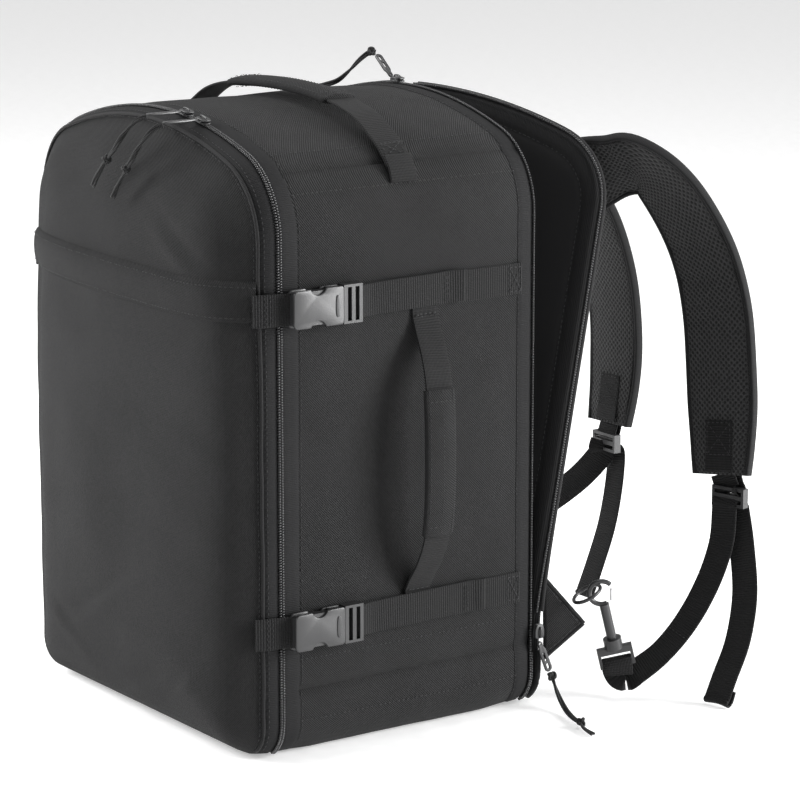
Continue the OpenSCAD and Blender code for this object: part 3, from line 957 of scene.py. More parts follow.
def folded(x, y, z):
    """A point of the flat back panel, carried round the open fold."""
    offset = Vector((x, 0, z)) - Vector((FOLD_AT.x, 0, FOLD_AT.z))
    away, along = offset.dot(FOLD_OUT), offset.dot(FOLD_ALONG)
    if away <= FOLD_FROM:
        return Vector((x, y, z))
    at = (away - FOLD_FROM) / FOLD_STEP
    low = min(int(at), len(FOLD_LINE) - 2)
    f = at - low
    a, b = FOLD_LINE[low], FOLD_LINE[low + 1]
    px, py, turn = (a[j] * (1 - f) + b[j] * f for j in range(3))
    thick = y - FOLD_AT.y
    base = FOLD_AT + FOLD_ALONG * along + FOLD_OUT * px + Vector((0, py, 0))
    return base + (FOLD_OUT * -math.sin(turn) + Vector((0, math.cos(turn), 0))) * thick


def fold_distance(x, z):
    return (Vector((x, 0, z)) - Vector((FOLD_AT.x, 0, FOLD_AT.z))).dot(FOLD_OUT)


def fold_out_dir(i, x, z):
    """Outward direction in the panel's plane at outline point i, carried round the fold."""
    out = ring_out(i % RING_N)
    return (folded(x + out.x, FOLD_AT.y, z + out.y) - folded(x, FOLD_AT.y, z)).normalized()


BACK_RINGS = 46


def back_material(layer, inset):
    """Cloth at the rim and mesh inside it on the outer face, tape and then lining on the inner one."""
    if layer:
        return 3 if inset < 15 else 1
    return 2 if layer == 0 and inset > 26 else 0


def back_panel_cloth():
    """The padded panel, cut flat and carried round the fold, bending where the flap does."""
    verts, flat_at = [], []
    for layer in (0, 1):
        for r in range(BACK_RINGS + 1):
            inset = 150.0 * (r / BACK_RINGS) ** 1.35
            for i, (x, z) in enumerate(ring(max(inset, 0.6))):
                soft = ease(inset / 7)
                p = (x, 0, z)
                if layer == 0:
                    pad = 1.6 * ease((inset - 9) / 18) + 0.8 * ripple(p, 80, seed=2.2)
                    groove = -1.7 * math.exp(-((inset - 8.5) / 2.2) ** 2)
                    centre = -1.8 * math.exp(-(x / 5) ** 2) * (1 if 60 < z < 430 else 0)
                    y = 128.4 + 4.4 * soft + pad * soft + groove + centre
                else:
                    groove = 0.9 * math.exp(-((inset - 17) / 1.8) ** 2)
                    ridge = -0.8 * math.exp(-((inset - 10) / 5.0) ** 2)
                    y = 126.6 - 4.2 * soft + 0.7 * ripple(p, 60, seed=6.1) + groove + ridge
                verts.append(folded(x, y, max(z, 0.8)))
                flat_at.append((x, z, inset))
    parts = layered_faces(BACK_RINGS)
    faces = [corners for corners, _ in parts]
    mats = [back_material(layer, flat_at[corners[0]][2]) for corners, layer in parts]
    uvs = [tuple(flat_at[v][:2] for v in corners) for corners in faces]
    obj = piece("back_cloth", verts, faces, None, [SHELL, LINING, MESH, TAPE], mats, uvs,
                ("back_panel", "laptop_flap"))
    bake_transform(obj)


back_panel_cloth()


def flap_place(i, y, rise):
    x, z = RING[i % RING_N]
    out = ring_out(i % RING_N)
    return folded(x + out.x * rise, y, z + out.y * rise)


def flap_line(indices, y, rise):
    """Points along the flap's edge, with their outward directions and the directions across the edge."""
    line = [flap_place(i, y, rise) for i in indices]
    outs = [fold_out_dir(i, *RING[i % RING_N]) for i in indices]
    across = [(flap_place(i, y + 1, rise) - p).normalized() for i, p in zip(indices, line)]
    return line, outs, across


flap_run = [i for i in range(RING_N) if RING[i][1] > 40 and fold_distance(*RING[i]) > 4]
shut_run = [i for i in range(RING_N) if RING[i][1] > 4 and fold_distance(*RING[i]) < -6]
shut_far = [i for i in shut_run if RING[i][0] < 0 or RING[i][1] > 400]
shut_near = [i for i in shut_run if RING[i][0] > 0 and RING[i][1] < 200]


ring_band("rear_zip_flap_tape", "laptop_flap", flap_run, 123.8, 120.6, 0.2, TAPE, place=flap_place,
          thick=0.5)
line, outs, across = flap_line(flap_run, 121.0, -0.6)
teeth("rear_zip_flap_coil", "laptop_flap", line, outs, across, width=1.7, replaces=("rear_zip_flap_side",))
ring_band("rear_zip_body_tape", "root", zip_run, 103.5, 117.6, 0.2, TAPE,
          replaces=("rear_zip_body_side",))
line, outs = ring_line(zip_run, 118.6, 0.3)
teeth("rear_zip_body_coil", "root", line, outs, Vector((0, 1, 0)), width=1.7)
for label, run in (("far", shut_far), ("near", shut_near)):
    line, outs = ring_line(run, 120.3, 0.2)
    teeth("rear_zip_shut_coil_" + label, "root", line, outs, Vector((0, 1, 0)), phase=0.5, width=1.7)
tube("flap_binding", [flap_place(i, 127.5, 0.4) for i in flap_run], 2.3, "laptop_flap", PIPING,
     steps=1)
for label, run in (("far", shut_far), ("near", shut_near)):
    tube("back_binding_" + label, [flap_place(i, 127.5, 0.4) for i in run], 2.3, "root", PIPING,
         steps=1)
flap_rows = []
for inset, y, level, way in ((8.5, 132.6, 133, 1), (17.0, 122.4, 122, -1)):
    spots = [point for i, point in enumerate(ring(inset)) if i in flap_run and fold_distance(*point) > 8]
    flap_rows.append(([folded(x, y, z) for x, z in spots],
                      [folded(x, level + way, z) - folded(x, level, z) for x, z in spots]))
stitches("flap_stitching", "laptop_flap", flap_rows)


# ---- inside: the divider sleeve ----
def divider_cloth(inset, y0, y1, rings=18, bulge=0.56):
    """The padded divider between the depths y0 and y1, thinner at its rim."""
    verts = []
    for side in (1, -1):
        for r in range(rings + 1):
            step = inset + 140.0 * r / rings
            for x, z in ring(step):
                soft = ease((step - inset) / 6)
                half_thick = (y1 - y0) / 2 * (0.35 + 0.65 * soft) - 0.4
                verts.append((x, (y0 + y1) / 2 + side * half_thick + bulge * ripple((x, 0, z), 70), z))
    faces = [corners for corners, _ in layered_faces(rings)]
    uvs = [across_and_up([verts[v] for v in corners]) for corners in faces]
    return piece("divider_cloth", verts, faces, "root", [LINING], uvs=uvs, replaces=("divider_panel",))


divider_cloth(5.6, 104, 112)


# ---- webbing on the sides, with its buckles ----
def lay_over(points, side, thick=1.8, rise=0.2):
    """Lifts the points of a strap on a side panel so that it clears the bulging cloth."""
    out = []
    for y, z, lift in points:
        i = ring_index(z, side)
        stand = max(panel_bulge(i, y) + HALF_W + thick / 2 + rise, 167.8)
        out.append((side * (stand + lift), y, z))
    return out


def box_stitch(centre, right, up, normal, w, h, cross=True):
    """A sewn box with a cross in it: rows for stitches()."""
    c, r, u = Vector(centre), Vector(right).normalized() * w / 2, Vector(up).normalized() * h / 2
    corners = [c - r - u, c + r - u, c + r + u, c - r + u]
    rows = [([corners[k], corners[(k + 1) % 4]], [Vector(normal)]) for k in range(4)]
    if cross:
        rows += [([corners[0], corners[2]], [Vector(normal)]), ([corners[1], corners[3]], [Vector(normal)])]
    return rows


SOCKET_Y0 = -115.0
for side, label in ((1, "near"), (-1, "far")):
    runs, rows = [], []
    for z in (UPPER_Z, LOWER_Z):
        ys = [-112, -100, -80, -60, -40, -20, 0, 20, 40, 60, 80, 95, 106]
        runs.append((lay_over([(y, z, 0) for y in ys], side), [Vector((0, 0, 1))]))
        end = lay_over([(99, z, 1.2)], side)[0]
        rows += box_stitch(end, (0, 1, 0), (0, 0, 1), (side, 0, 0), 11, 19)
        front = lay_over([(-106, z, 1.2)], side)[0]
        rows.append(([Vector(front) + Vector((0, 3, -10)), Vector(front) + Vector((0, 3, 10))],
                     [Vector((side, 0, 0))]))
    strap(label + "_side_straps", "root", WEBBING, runs, (label + "_compression_webbing",))
    stitches(label + "_side_strap_stitching", "root", rows)
    for z, level, tail_end in ((UPPER_Z, "upper", 46), (LOWER_Z, "lower", 66)):
        x = 171.6
        body = "%s_%s_plug" % (label, level)
        outer = [(x + 1.6, -58, z), (x + 3.0, -53, z), (x + 1.4, -47, z), (x - 0.2, -38, z), (x, -20, z + 0.6),
                 (x + 0.5, 0, z + 1.0), (x + 0.3, 20, z + 1.4), (x, tail_end - 14, z + 1.8),
                 (x + 1.6, tail_end - 5, z + 2), (x + 2.4, tail_end - 1, z + 2), (x + 1.2, tail_end + 1.2, z + 2),
                 (x - 0.6, tail_end - 1.5, z + 2), (x - 0.9, tail_end - 8, z + 2), (x - 1.0, tail_end - 22, z + 1.6)]
        outer = [(side * (px + 0.6), py, pz) for px, py, pz in outer]
        strap("%s_%s_tail_strap" % (label, level), body, WEBBING, [(outer, [Vector((0, 0, 1))])],
              ("%s_%s_tail" % (label, level),), thick=1.5)
        rows = [([(side * (x + 1.8), tail_end + dy, z - 9), (side * (x + 1.8), tail_end + dy, z + 12)],
                 [(side, 0, 0)]) for dy in (-17.5, -15.5)]
        stitches("%s_%s_tail_stitching" % (label, level), body, rows, rise=0.5)

stub_runs, stub_rows = [], []
for side in (1, -1):
    for z in (UPPER_Z, LOWER_Z):
        loop = [(side * 163.0, -142, z), (side * 166.4, -134, z), (side * 168.4, -124, z), (side * 169.6, -117, z),
                (side * 172.6, -112.4, z), (side * 175.4, -109.6, z)]
        stub_runs.append((loop, [Vector((0, 0, 1))]))
        for y in (-133.0, -129.5):
            out = 168.6 if y > -131 else 167.6
            stub_rows.append(([(side * out, y, z - 11), (side * out, y, z + 11)], [(side, 0, 0)]))
strap("lid_strap_stubs", "front_lid", WEBBING, stub_runs, ("lid_webbing_stubs",))
stitches("lid_stub_stitching", "front_lid", stub_rows)


def extruded(name, outline, holes, place, depth, body, material, bevel=0.6, replaces=()):
    """A plate of the outline (u, v) with holes cut right through, depth thick, with rounded edges."""
    curve = bpy.data.curves.new(name + "_outline", "CURVE")
    curve.dimensions = "2D"
    curve.fill_mode = "BOTH"
    curve.extrude = (depth / 2 - bevel) * MM
    curve.bevel_depth = bevel * MM
    curve.bevel_resolution = 2
    curve.offset = -bevel * MM
    for loop in [outline] + list(holes):
        spline = curve.splines.new("POLY")
        spline.points.add(len(loop) - 1)
        for point, (u, v) in zip(spline.points, loop):
            point.co = (u * MM, v * MM, 0, 1)
        spline.use_cyclic_u = True
    holder = bpy.data.objects.new(name + "_curve", curve)
    bpy.context.scene.collection.objects.link(holder)
    bpy.context.view_layer.update()
    mesh = bpy.data.meshes.new_from_object(holder.evaluated_get(bpy.context.evaluated_depsgraph_get()))
    bpy.data.objects.remove(holder)
    mesh.transform(place)
    mesh.materials.clear()
    mesh.materials.append(material)
    clean(mesh, 0.01 * MM)
    mesh.name = name
    return shown(name, mesh, body, replaces, 50)


def placed(origin, u, v, w):
    """Matrix that takes a plate's own axes to u, v and w, at an origin in millimetres."""
    axes = [Vector(a).normalized() for a in (u, v, w)]
    matrix = Matrix.Identity(4)
    for c, axis in enumerate(axes):
        for r in range(3):
            matrix[r][c] = axis[r]
    matrix.translation = Vector(origin) * MM
    return matrix


def arc(cx, cy, r, a0, a1, n=6):
    return [(cx + r * math.cos(math.radians(a0 + (a1 - a0) * k / n)),
             cy + r * math.sin(math.radians(a0 + (a1 - a0) * k / n))) for k in range(n + 1)]


def socket_outline():
    """A buckle seen from outside: u runs from its closed end to its mouth, v over its width."""
    top = [(0, 11)] + arc(3.5, 11.2, 3.4, 160, 95) + [(12, 14.8)]
    top += arc(22, 17.2, 7.4, 200, 340, 10) + [(33, 14.8)]
    top += arc(42.5, 12.5, 2.4, 90, 0) + [(45, 10)]
    return top + [(u, -v) for u, v in reversed(top)]


def socket(side, z, name):
    """A buckle's socket: two face plates, a core, side rails and a thumb ridge."""
    def plate(tag, outline, x, deep, bevel, replaces=()):
        place = placed((side * x, SOCKET_Y0, z), (0, 1, 0), (0, 0, 1), (side, 0, 0))
        extruded(name + tag, outline, [], place, deep, "front_lid", PLASTIC, bevel, replaces)

    plate("_face", socket_outline(), 178.1, 2.4, 0.7, (name,))
    plate("_base", socket_outline(), 170.7, 2.2, 0.7)
    core = (arc(3.4, 10.4, 2.6, 180, 90) + [(10, 13)] + arc(10, 9, 4, 60, 0) + arc(10, -9, 4, 0, -60)
            + [(10, -13)] + arc(3.4, -10.4, 2.6, -90, -180))
    plate("_core", core, 174.4, 7.0, 0.5)
    for s, tag in ((-1, "_rail_b"), (1, "_rail_a")):
        plate(tag, [(32, s * 14.4), (44.4, s * 14.0), (44.4, s * 12.6), (32, s * 12.8)], 174.4, 7.0, 0.3)
    ridge = arc(38.6, 0, 1.2, 90, 270) + arc(40.4, 0, 1.2, -90, 90)
    plate("_ridge", [(u, v * 7.0) for u, v in ridge], 179.4, 1.0, 0.3)


for side, label in ((1, "near"), (-1, "far")):
    for z, level in ((UPPER_Z, "upper"), (LOWER_Z, "lower")):
        socket(side, z, "%s_%s_socket" % (label, level))


# ---- handles ----
SIDE_HANDLE = [(168.5, 12, 338), (173, 12, 326), (184, 10, 308), (192, 8, 290), (196, 7, 264), (197, 7, 226),
               (196, 7, 190), (192, 7, 164), (184, 6, 144), (174, 5, 128), (168.5, 5, 118.5)]
TOP_HALF = [(152, 0, 452), (142, 0, 463), (128, 0, 473), (108, 0, 484), (84, 0, 491), (56, 0, 495), (28, 0, 497),
            (0, 0, 497.6)]
TOP_HANDLE = TOP_HALF + [(-x, y, z) for x, y, z in reversed(TOP_HALF[:-1])]


def offset_path(path, frames, u, v):
    return [p + side * u + up * v for p, (_, side, up) in zip(path, frames)]


def handle(name, points, across, strap_w, grip_w, grip_t, keep, end_boxes):
    """Webbing with a folded, padded grip round its middle, sewn down the grip's centre and ends."""
    path = smooth_path(points, 6)
    frames = frames_along(path, [Vector(across)])
    swept_piece(name + "_webbing_strap", path, frames, slab(strap_w, 2.0), "root", WEBBING,
                replaces=(name + "_webbing",))
    inside = [k for k, p in enumerate(path) if keep(p)]
    part = path[inside[0]:inside[-1] + 1]
    part_frames = frames[inside[0]:inside[-1] + 1]

    def swell(f):
        return 1.0, 0.82 + 0.18 * math.sin(math.pi * f) ** 0.5

    grip = swept_piece(name + "_grip_cover", part, part_frames, slab(grip_w, grip_t * 0.62, 3.0, 6, 3, 1.9, 1.9),
                       "root", SHELL, swell, (name + "_grip",))
    rows = []
    for s in (-1, 1):
        for u, v in ((0.0, grip_t * 0.47), (s * (grip_w / 2 - 3.0), grip_t * 0.29)):
            line = offset_path(part, part_frames, u, v * s if u == 0 else v)
            rows.append((line, [up * (s if u == 0 else 1) for _, _, up in part_frames]))
        line = offset_path(part, part_frames, s * (grip_w / 2 - 3.0), -grip_t * 0.29)
        rows.append((line, [-up for _, _, up in part_frames]))
    for k in (2, len(part) - 3):
        _, side, up = part_frames[k]
        for v in (1, -1):
            h = grip_t * 0.44 * v
            rows.append(([part[k] - side * grip_w * 0.42 + up * h, part[k] + side * grip_w * 0.42 + up * h],
                         [up * v]))
    for centre, right, up, normal, w, h in end_boxes:
        rows += box_stitch(centre, right, up, normal, w, h)
    stitches(name + "_stitching", "root", rows, rise=0.4)


handle("side_handle", SIDE_HANDLE, (0, 1, 0), 24.5, 28, 10, lambda p: 167 <= p.z <= 286,
       [((169.9, 12, 334), (0, 1, 0), (0.3, 0, 1), (1, 0, 0.3), 18, 8),
        ((169.9, 5, 122.6), (0, 1, 0), (0.3, 0, -1), (1, 0, -0.3), 18, 6)])
handle("top_handle", TOP_HANDLE, (0, 1, 0), 25, 29, 9, lambda p: abs(p.x) <= 71,
       [((144, 0, 463.2), (0, 1, 0), (-10, 0, 11), (11, 0, 10), 18, 12),
        ((-144, 0, 463.2), (0, 1, 0), (10, 0, 11), (-11, 0, 10), 18, 12)])
for s, label in ((1, "near"), (-1, "far")):
    foot = [(s * 157.5, 0, 440), (s * 155.8, 0, 446), (s * 153.0, 0, 452.5), (s * 147.5, 0, 459.5)]
    foot = [(x + s * 0.8, y, z) for x, y, z in foot]
    strap("top_handle_foot_" + label, "root", WEBBING, [(foot, [Vector((0, 1, 0))])])
for z, y, run, label in ((345, 12, 1, "upper"), (112, 5, -1, "lower")):
    foot = [(168.6, y, z), (169.0, y, z - run * 9)]
    strap("side_handle_foot_" + label, "root", WEBBING, [(foot, [Vector((0, 1, 0))])], width=24.5)


# ---- shoulder straps ----
def relaxed(points, passes):
    """The same run of points with its kinks eased out."""
    for _ in range(passes):
        middle = [(a + b * 2 + c) / 4 for a, b, c in zip(points, points[1:], points[2:])]
        points = [points[0]] + middle + [points[-1]]
    return points


def shoulder_pad(name, points, across, body, node):
    """A contoured foam pad: air mesh on its outer face, cloth behind, bound edges, and a sewn end patch."""
    path = smooth_path(points, 9)
    frames = frames_along(path, across)

    def shape(f):
        tip = ease(min(f, 1 - f) / 0.05)
        end = ease((f - 0.8) / 0.2)
        return 1.0 - 0.16 * end - 0.03 * (1 - tip), 0.62 + 0.38 * tip

    section = slab(62, 7.4, 2.6, 10, 3, 1.8, 1.8)
    verts, faces, kinds, uvs = swept(path, frames, section, shape)
    mats = [int(kind == "top") for kind in kinds]
    quilt = []
    k = len(section[0])
    for n, v in enumerate(verts):
        i = n // k
        dip = 0.45 * ripple((v.x, v.y, v.z), 30, seed=4.4)
        crease = 0.0
        for at in (0.17, 0.47, 0.55):
            crease += 1.5 * math.exp(-((i / len(path) - at) / 0.012) ** 2)
        centre = path[i]
        quilt.append(v - (v - centre).normalized() * (crease + dip) if (v - centre).length > 3 else v)
    pad = piece(name + "_body", quilt, faces, body, [SHELL, MESH], mats, uvs, (node,))
    for s, label in ((-1, "inner"), (1, "outer")):
        edge = [p + side * s * (31.2 * shape(i / (len(path) - 1))[0])
                for i, (p, (_, side, _)) in enumerate(zip(path, frames))]
        swept_piece("%s_binding_%s" % (name, label), relaxed(edge, 4), frames, slab(4.2, 7.6, 1.9), body,
                    PIPING)
    rows = []
    for s in (-1, 1):
        for v in (-1, 1):
            line, ups = [], []
            for i in range(2, len(path) - 2):
                su, sv = shape(i / (len(path) - 1))
                line.append(path[i] + frames[i][1] * s * 27.0 * su + frames[i][2] * v * (4.3 * sv))
                ups.append(frames[i][2] * v)
            rows.append((line, ups))
    last = int(len(path) * 0.90)
    along, side, up = frames[last]
    for v in (-1, 1):
        centre = path[last] + up * v * 6.0
        rows += box_stitch(centre, side, along, up * v, 22, 26)
    stitches(name + "_stitching", body, rows, rise=0.45)
    patch = slice(int(len(path) * 0.86), -1)
    for v, label in ((1, "a"), (-1, "b")):
        line = offset_path(path[patch], frames[patch], 0, v * 5.4)
        swept_piece("%s_patch_%s" % (name, label), line, frames[patch], slab(26, 1.0), body, WEBBING)


NEAR_PAD = [(89, 218.5, 412), (113.5, 244.5, 425), (136, 256, 425), (155, 273, 399), (171, 289, 357),
            (181, 296, 312), (188, 296, 262), (195, 293, 216), (201, 288, 177)]
NEAR_ACROSS = [(-10, -4, 58), (36, -6, 40), (53, -12, 32), (60, 0, 34), (64, 12, 18), (67, 18, 6), (67, 18, 0),
               (67, 18, 0), (67, 18, 0)]
FAR_PAD = [(-62, 158, 440), (-62, 196, 444), (-58, 250, 438), (-52, 300, 412), (-44, 338, 368), (-38, 358, 312),
           (-34, 364, 256), (-32, 362, 206), (-31, 356, 168)]
shoulder_pad("near_pad", NEAR_PAD, NEAR_ACROSS, "near_strap", "near_strap_pad")
shoulder_pad("far_pad", FAR_PAD, [(1, 0, 0)], "far_strap", "far_strap_pad")
anchor = [(51, 168.5, 418), (65.5, 182, 416), (77, 197, 413), (81.5, 206, 412.4)]
strap("near_strap_anchor", "laptop_flap", SHELL, [(anchor, [(-26, 0, 60)])], ("near_strap_stub",),
      width=50, thick=3.6)


# Each run of webbing starts inside its ladder lock. The near one ends round the hook's bar, twisted to lie
# along it, and the tails end in a sewn fold.
HUNG = {
    "near": {
        "hang": [(207, 288.6, 160), (206.4, 286.2, 154), (207, 286, 147), (211, 280, 122), (212, 266, 92),
                 (210, 246, 62), (204, 225, 38), (194, 207, 22), (187.5, 198.5, 17), (184.2, 194.6, 23),
                 (184.5, 194.0, 31), (188.0, 190.4, 35.4), (191.8, 189.2, 30), (191.0, 190.6, 21)],
        "hang_across": [(67, 18, 0)] * 7 + [(62, 38, 8), (57, 70, 20)] + [(57, 79, 22)] * 5,
        "tail": [(207.6, 293.4, 160), (208.4, 297.2, 154), (210, 297.4, 147), (222, 293, 120), (236, 285, 84),
                 (245, 271, 50), (249, 254, 22), (250, 246.4, 7.5), (250.2, 244.2, 4.4), (250.4, 246.6, 2.6),
                 (250.4, 249.6, 5.4), (250, 252.6, 13)],
        "loop": [(201, 288.6, 178), (204, 289.6, 170), (206.6, 290.4, 164.4), (208.2, 294.8, 163.8),
                 (205.6, 294.4, 170), (202.6, 293.8, 178)],
        "across": [(67, 18, 0)],
        "sewn_at": 62,
    },
    "far": {
        "hang": [(-31, 350, 152), (-31.6, 348.2, 146), (-34, 349, 140), (-54, 334, 112), (-88, 300, 76),
                 (-124, 264, 48), (-156, 232, 34), (-180, 206, 29)],
        "hang_across": [(0.6, 0.8, 0)],
        "tail": [(-30, 354.6, 152), (-29, 358.4, 146), (-26, 360, 140), (-24, 356, 112), (-26, 350, 76),
                 (-30, 340, 40), (-33.4, 333.6, 18), (-34, 331.8, 14), (-34, 333.4, 12.6), (-33.8, 335.8, 16)],
        "loop": [(-31, 356, 169), (-31, 353.6, 162), (-31, 351.6, 156.8), (-31, 355.8, 155.6),
                 (-31, 358.6, 162), (-31, 360.2, 169)],
        "across": [(1, 0, 0)],
        "sewn_at": 14,
    },
}
for label, hung in HUNG.items():
    body = label + "_strap"
    strap(label + "_strap_web", body, WEBBING,
          [(hung["hang"], hung["hang_across"]), (hung["tail"], hung["across"])], (label + "_strap_webbing",), width=24)
    strap(label + "_lock_loop", body, WEBBING, [(hung["loop"], hung["across"])], width=24, thick=1.6)
for label, hung in HUNG.items():
    line = smooth_path(hung["hang"])
    k = len(line) - hung["sewn_at"]
    _, side, up = frames_along(line, hung["hang_across"])[k]
    rows = [([line[k] - side * 10 + up * v, line[k] + side * 10 + up * v], [up * v]) for v in (-1.1, 1.1)]
    stitches(label + "_hang_stitching", label + "_strap", rows)


# ---- lower wings ----
def wing(name, corners, body, node):
    """A folded triangle of shell cloth with bound edges and two rows of stitching."""
    a, b, c = (Vector(p) for p in corners)
    normal = (b - a).cross(c - a).normalized()
    middle = (a + b + c) / 3
    verts, faces, uvs = [], [], []
    steps = 10
    for layer in (-1, 1):
        for i in range(steps + 1):
            for j in range(steps + 1):
                u, w = i / steps, j / steps
                p = (a * (1 - w) + c * w) * (1 - u) + b * u
                p = middle + (p - middle) * 0.97
                edge = min(u, 1 - u, w * (1 - u) * 2, (1 - w) * (1 - u) * 2)
                verts.append(p + normal * layer * (0.9 + 1.2 * ease(edge * 4)))
    wide = steps + 1
    half = wide * wide
    for layer in (0, 1):
        for i in range(steps):
            for j in range(steps):
                k = layer * half + i * wide + j
                faces.append((k, k + 1, k + wide + 1, k + wide))
    border = ([j for j in range(wide)] + [i * wide + steps for i in range(1, wide)]
              + [steps * wide + j for j in range(steps - 1, -1, -1)] + [i * wide for i in range(steps - 1, 0, -1)])
    for k in range(len(border)):
        p, q = border[k], border[(k + 1) % len(border)]
        faces.append((p, q, half + q, half + p))
    uvs = [tuple((verts[v].y, verts[v].z) for v in face) for face in faces]
    piece(name + "_cloth", verts, faces, body, [SHELL], uvs=uvs, replaces=(node,), weld=True)
    inner = [middle + (p - middle) * 0.8 for p in (a, b, c)]
    rows = []
    for v in (-1, 1):
        for p, q in ((inner[0], inner[1]), (inner[1], inner[2])):
            rows.append(([p + normal * v * 2.3, q + normal * v * 2.3], [normal * v]))
    stitches(name + "_stitching", body, rows)
    for label, p, q in (("upper", a, b), ("lower", c, b)):
        p, q = middle + (p - middle) * 0.97, middle + (q - middle) * 0.96
        tube("%s_edge_%s" % (name, label), [p, (p + q) / 2, q], 1.9, body, PIPING)


wing("near_wing", [(163, 133, 108), (178, 165, 66), (165, 133, 38)], "laptop_flap", "near_wing")
wing("far_wing", [(-164, 133, 108), (-183, 174, 68), (-164, 133, 38)], "root", "far_wing")


# ---- pull cords with their knots ----
CORDS = {
    "front_cord_a": ([(38, -156, 488), (36, -161, 487), (32, -167, 481), (26, -171.5, 472), (18, -173.5, 462),
                      (8, -174, 454), (0, -174, 446), (-8, -174, 438), (-14, -174, 430)], "front_pull_a"),
    "front_cord_b": ([(62, -156, 484.5), (60, -161, 483), (57, -167, 477), (52, -171.5, 468),
                      (45, -173.5, 458), (37, -174, 450), (29, -174, 441), (22, -174, 433), (16, -174, 425)],
                     "front_pull_b"),
    "rear_cord_upper": ([(-51, 119, 510), (-54, 115, 510), (-58, 108, 504), (-63, 101, 495), (-71, 95, 486.5),
                         (-82, 90, 482), (-93, 86, 479), (-103, 82, 476), (-112, 78, 473)], "rear_pull_upper"),
    "rear_cord_lower": ([(171, 136, 28), (174, 137, 21), (179, 137, 13), (188, 135, 6.5), (200, 131, 3.2),
                         (214, 126, 2.6), (228, 122, 2.6), (242, 116, 2.6), (256, 113, 2.6)], "rear_pull_lower"),
}


def knot(name, centre, along, size, body):
    """An overhand knot of doubled cord."""
    along = Vector(along).normalized()
    side = along.cross(Vector((0.3, 0.5, 0.81))).normalized()
    up = along.cross(side)
    points = []
    for k in range(37):
        a = 2 * math.pi * k / 36
        x = math.sin(a) + 2 * math.sin(2 * a)
        y = math.cos(a) - 2 * math.cos(2 * a)
        points.append(Vector(centre) + (side * x + up * y) * size * 0.30
                      + along * (-math.sin(3 * a)) * size * 0.62)
    return swept_piece(name, points, frames_along(points, ASKEW), circle(size * 0.42, 8), body, CORD)


for name, (points, body) in CORDS.items():
    path = smooth_path(points, 4)
    frames = frames_along(path, ASKEW)
    parts = []
    for s in (-1, 1):
        strand = []
        for k, p in enumerate(path):
            turn = 0.16 * k + (0.6 if name.endswith("a") else 0.0)
            _, side, up = frames[k]
            strand.append(p + (side * math.cos(turn) + up * math.sin(turn)) * s * 1.1)
        parts.append(swept(strand, frames_along(strand, ASKEW), circle(1.15, 8)))
    verts, faces, _, uvs = joined(parts)
    cord = piece(name + "_braid", verts, faces, body, [CORD], uvs=uvs, replaces=(name,))
    n = len(path)
    spots = [int(n * 0.62)] if name != "rear_cord_upper" else [3]
    if name == "rear_cord_lower":
        spots = [2, int(n * 0.78)]
    for c, k in enumerate(spots):
        centre = Vector((path[k].x, path[k].y, max(path[k].z, 4.8)))
        knot("%s_knot_%d" % (name, c), centre, path[min(k + 1, n - 1)] - path[k - 1], 3.3, body)


# ---- zip sliders and their pull tabs ----
def slider(name, base, forward, up, body):
    """A slider in place of the CAD one: a pointed top plate, a lower plate, side flanges and a bridge."""
    forward, up = Vector(forward).normalized(), Vector(up).normalized()
    side = up.cross(forward)
    base = Vector(base)
    outline = (arc(-3.2, 2.4, 2.0, 180, 90, 4) + [(1.5, 4.4)] + arc(4.6, 1.6, 1.9, 60, 0, 3)
               + arc(4.6, -1.6, 1.9, 0, -60, 3) + [(1.5, -4.4)] + arc(-3.2, -2.4, 2.0, -90, -180, 4))
    for tag, lift, deep in (("top", 3.1, 1.5), ("base", 0.7, 1.3)):
        place = placed(base + up * lift, forward, side, up)
        extruded("%s_%s" % (name, tag), outline, [], place, deep, body, BLACK_METAL, 0.35,
                 (name,) if tag == "top" else ())
    for s in (-1, 1):
        rail = [(-4.6, s * 4.2), (3.0, s * 4.2), (3.0, s * 3.4), (-4.6, s * 3.4)]
        place = placed(base + up * 1.9, forward, side, up)
        extruded("%s_rail_%s" % (name, "a" if s > 0 else "b"), rail, [], place, 2.2, body,
                 BLACK_METAL, 0.2)
    bridge = [base + forward * f + up * h for f, h in ((-4.4, 3.4), (-4.2, 4.6), (-2.4, 5.2), (0, 5.3), (2.4, 5.1),
                                                       (3.8, 4.4), (4.0, 3.4))]
    tube(name + "_bridge", bridge, 0.75, body, BLACK_METAL)


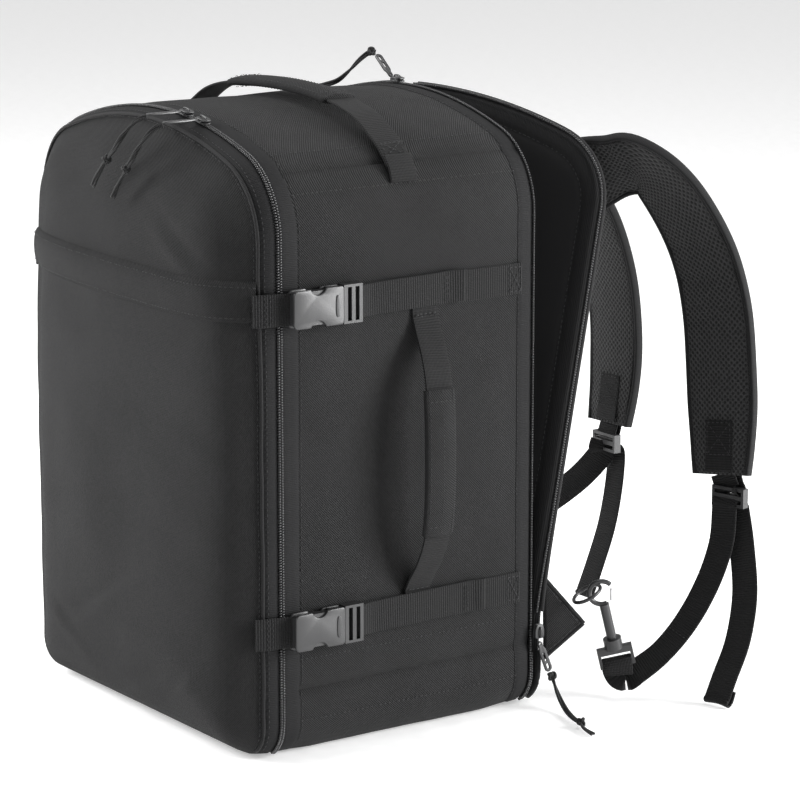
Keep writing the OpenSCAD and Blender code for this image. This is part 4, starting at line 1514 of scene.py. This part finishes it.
def pull_tab(name, start, along, side, length, body):
    """A stamped tab with an eye at the slider and a slot for the cord."""
    along, side = Vector(along).normalized(), Vector(side).normalized()
    normal = along.cross(side)
    slot_from = length - 6.5
    outline = (arc(1.6, 0, 2.2, 250, 110, 6) + [(5, 2.1), (8, 3.3)] + arc(length - 3.2, 0.2, 3.2, 90, 0, 5)
               + arc(length - 3.2, -0.2, 3.2, 0, -90, 5) + [(8, -3.3), (5, -2.1)])
    eye = arc(1.7, 0, 1.0, 0, 330, 8)
    slot = arc(slot_from, 0, 1.1, 90, 270, 4) + arc(length - 3.4, 0, 1.1, -90, 90, 4)
    groove = arc(11, 0, 0.9, 90, 270, 4) + arc(slot_from - 4, 0, 0.9, -90, 90, 4)
    place = placed(start, along, side, normal)
    extruded(name + "_tab", outline, [eye, slot, groove], place, 1.5, body, BLACK_METAL, 0.3,
             (name,))


CROWN_X = HALF_W - TOP_R + TOP_R * math.cos(TURN)


def crown_at(x):
    """Height of the outline's crowned top at x."""
    return BODY_H - CROWN * (x / CROWN_X) ** 2


for x, label in ((38.0, "a"), (62.0, "b")):
    slope = -2 * CROWN * x / CROWN_X ** 2
    slider("front_slider_" + label, (x, -ZIP_Y, crown_at(x) + 2.1), (1, 0, slope), (-slope, 0, 1),
           "front_slider_" + label)
    pull_tab("front_pull_" + label, (x, -ZIP_Y - 5.5, crown_at(x) + 5), (0, -1, 0), (1, 0, 0), 30,
             "front_pull_" + label)
slider("rear_slider_upper", (-21, ZIP_Y, 488.8), (1, 0, 0), (0, 0, 1), "rear_slider_upper")
slider("rear_slider_lower", (168.6, 124, 64), (0, 0, 1), (1, 0, 0), "rear_slider_lower")
tilt = math.radians(38)
pull_tab("rear_pull_upper", (-29.5, ZIP_Y, 492.2), (-math.cos(tilt), 0, math.sin(tilt)), (0, 1, 0), 26,
         "rear_pull_upper")
tilt = math.radians(22)
pull_tab("rear_pull_lower", (171.6, 124, 55.5), (0, math.sin(tilt), -math.cos(tilt)), (0, math.cos(tilt),
         math.sin(tilt)), 28, "rear_pull_lower")


# ---- finishes for the CAD parts that stay ----
def finish_node(obj, material):
    """A procedural material and crisp edges for a carried CAD node."""
    obj.data.materials.clear()
    obj.data.materials.append(material)
    for face in obj.data.polygons:
        face.material_index = 0
        face.use_smooth = True
    split = obj.modifiers.new("split", "EDGE_SPLIT")
    split.split_angle = math.radians(35)


for node, obj in nodes.items():
    if obj.hide_render:
        continue
    if node == "near_hook_gate":
        finish_node(obj, STEEL)
    elif "slider" in node or "pull" in node or "ring" in node:
        finish_node(obj, BLACK_METAL)
    elif node in ("base_board", "frame_sheet"):
        finish_node(obj, BOARD)
    else:
        finish_node(obj, PLASTIC)
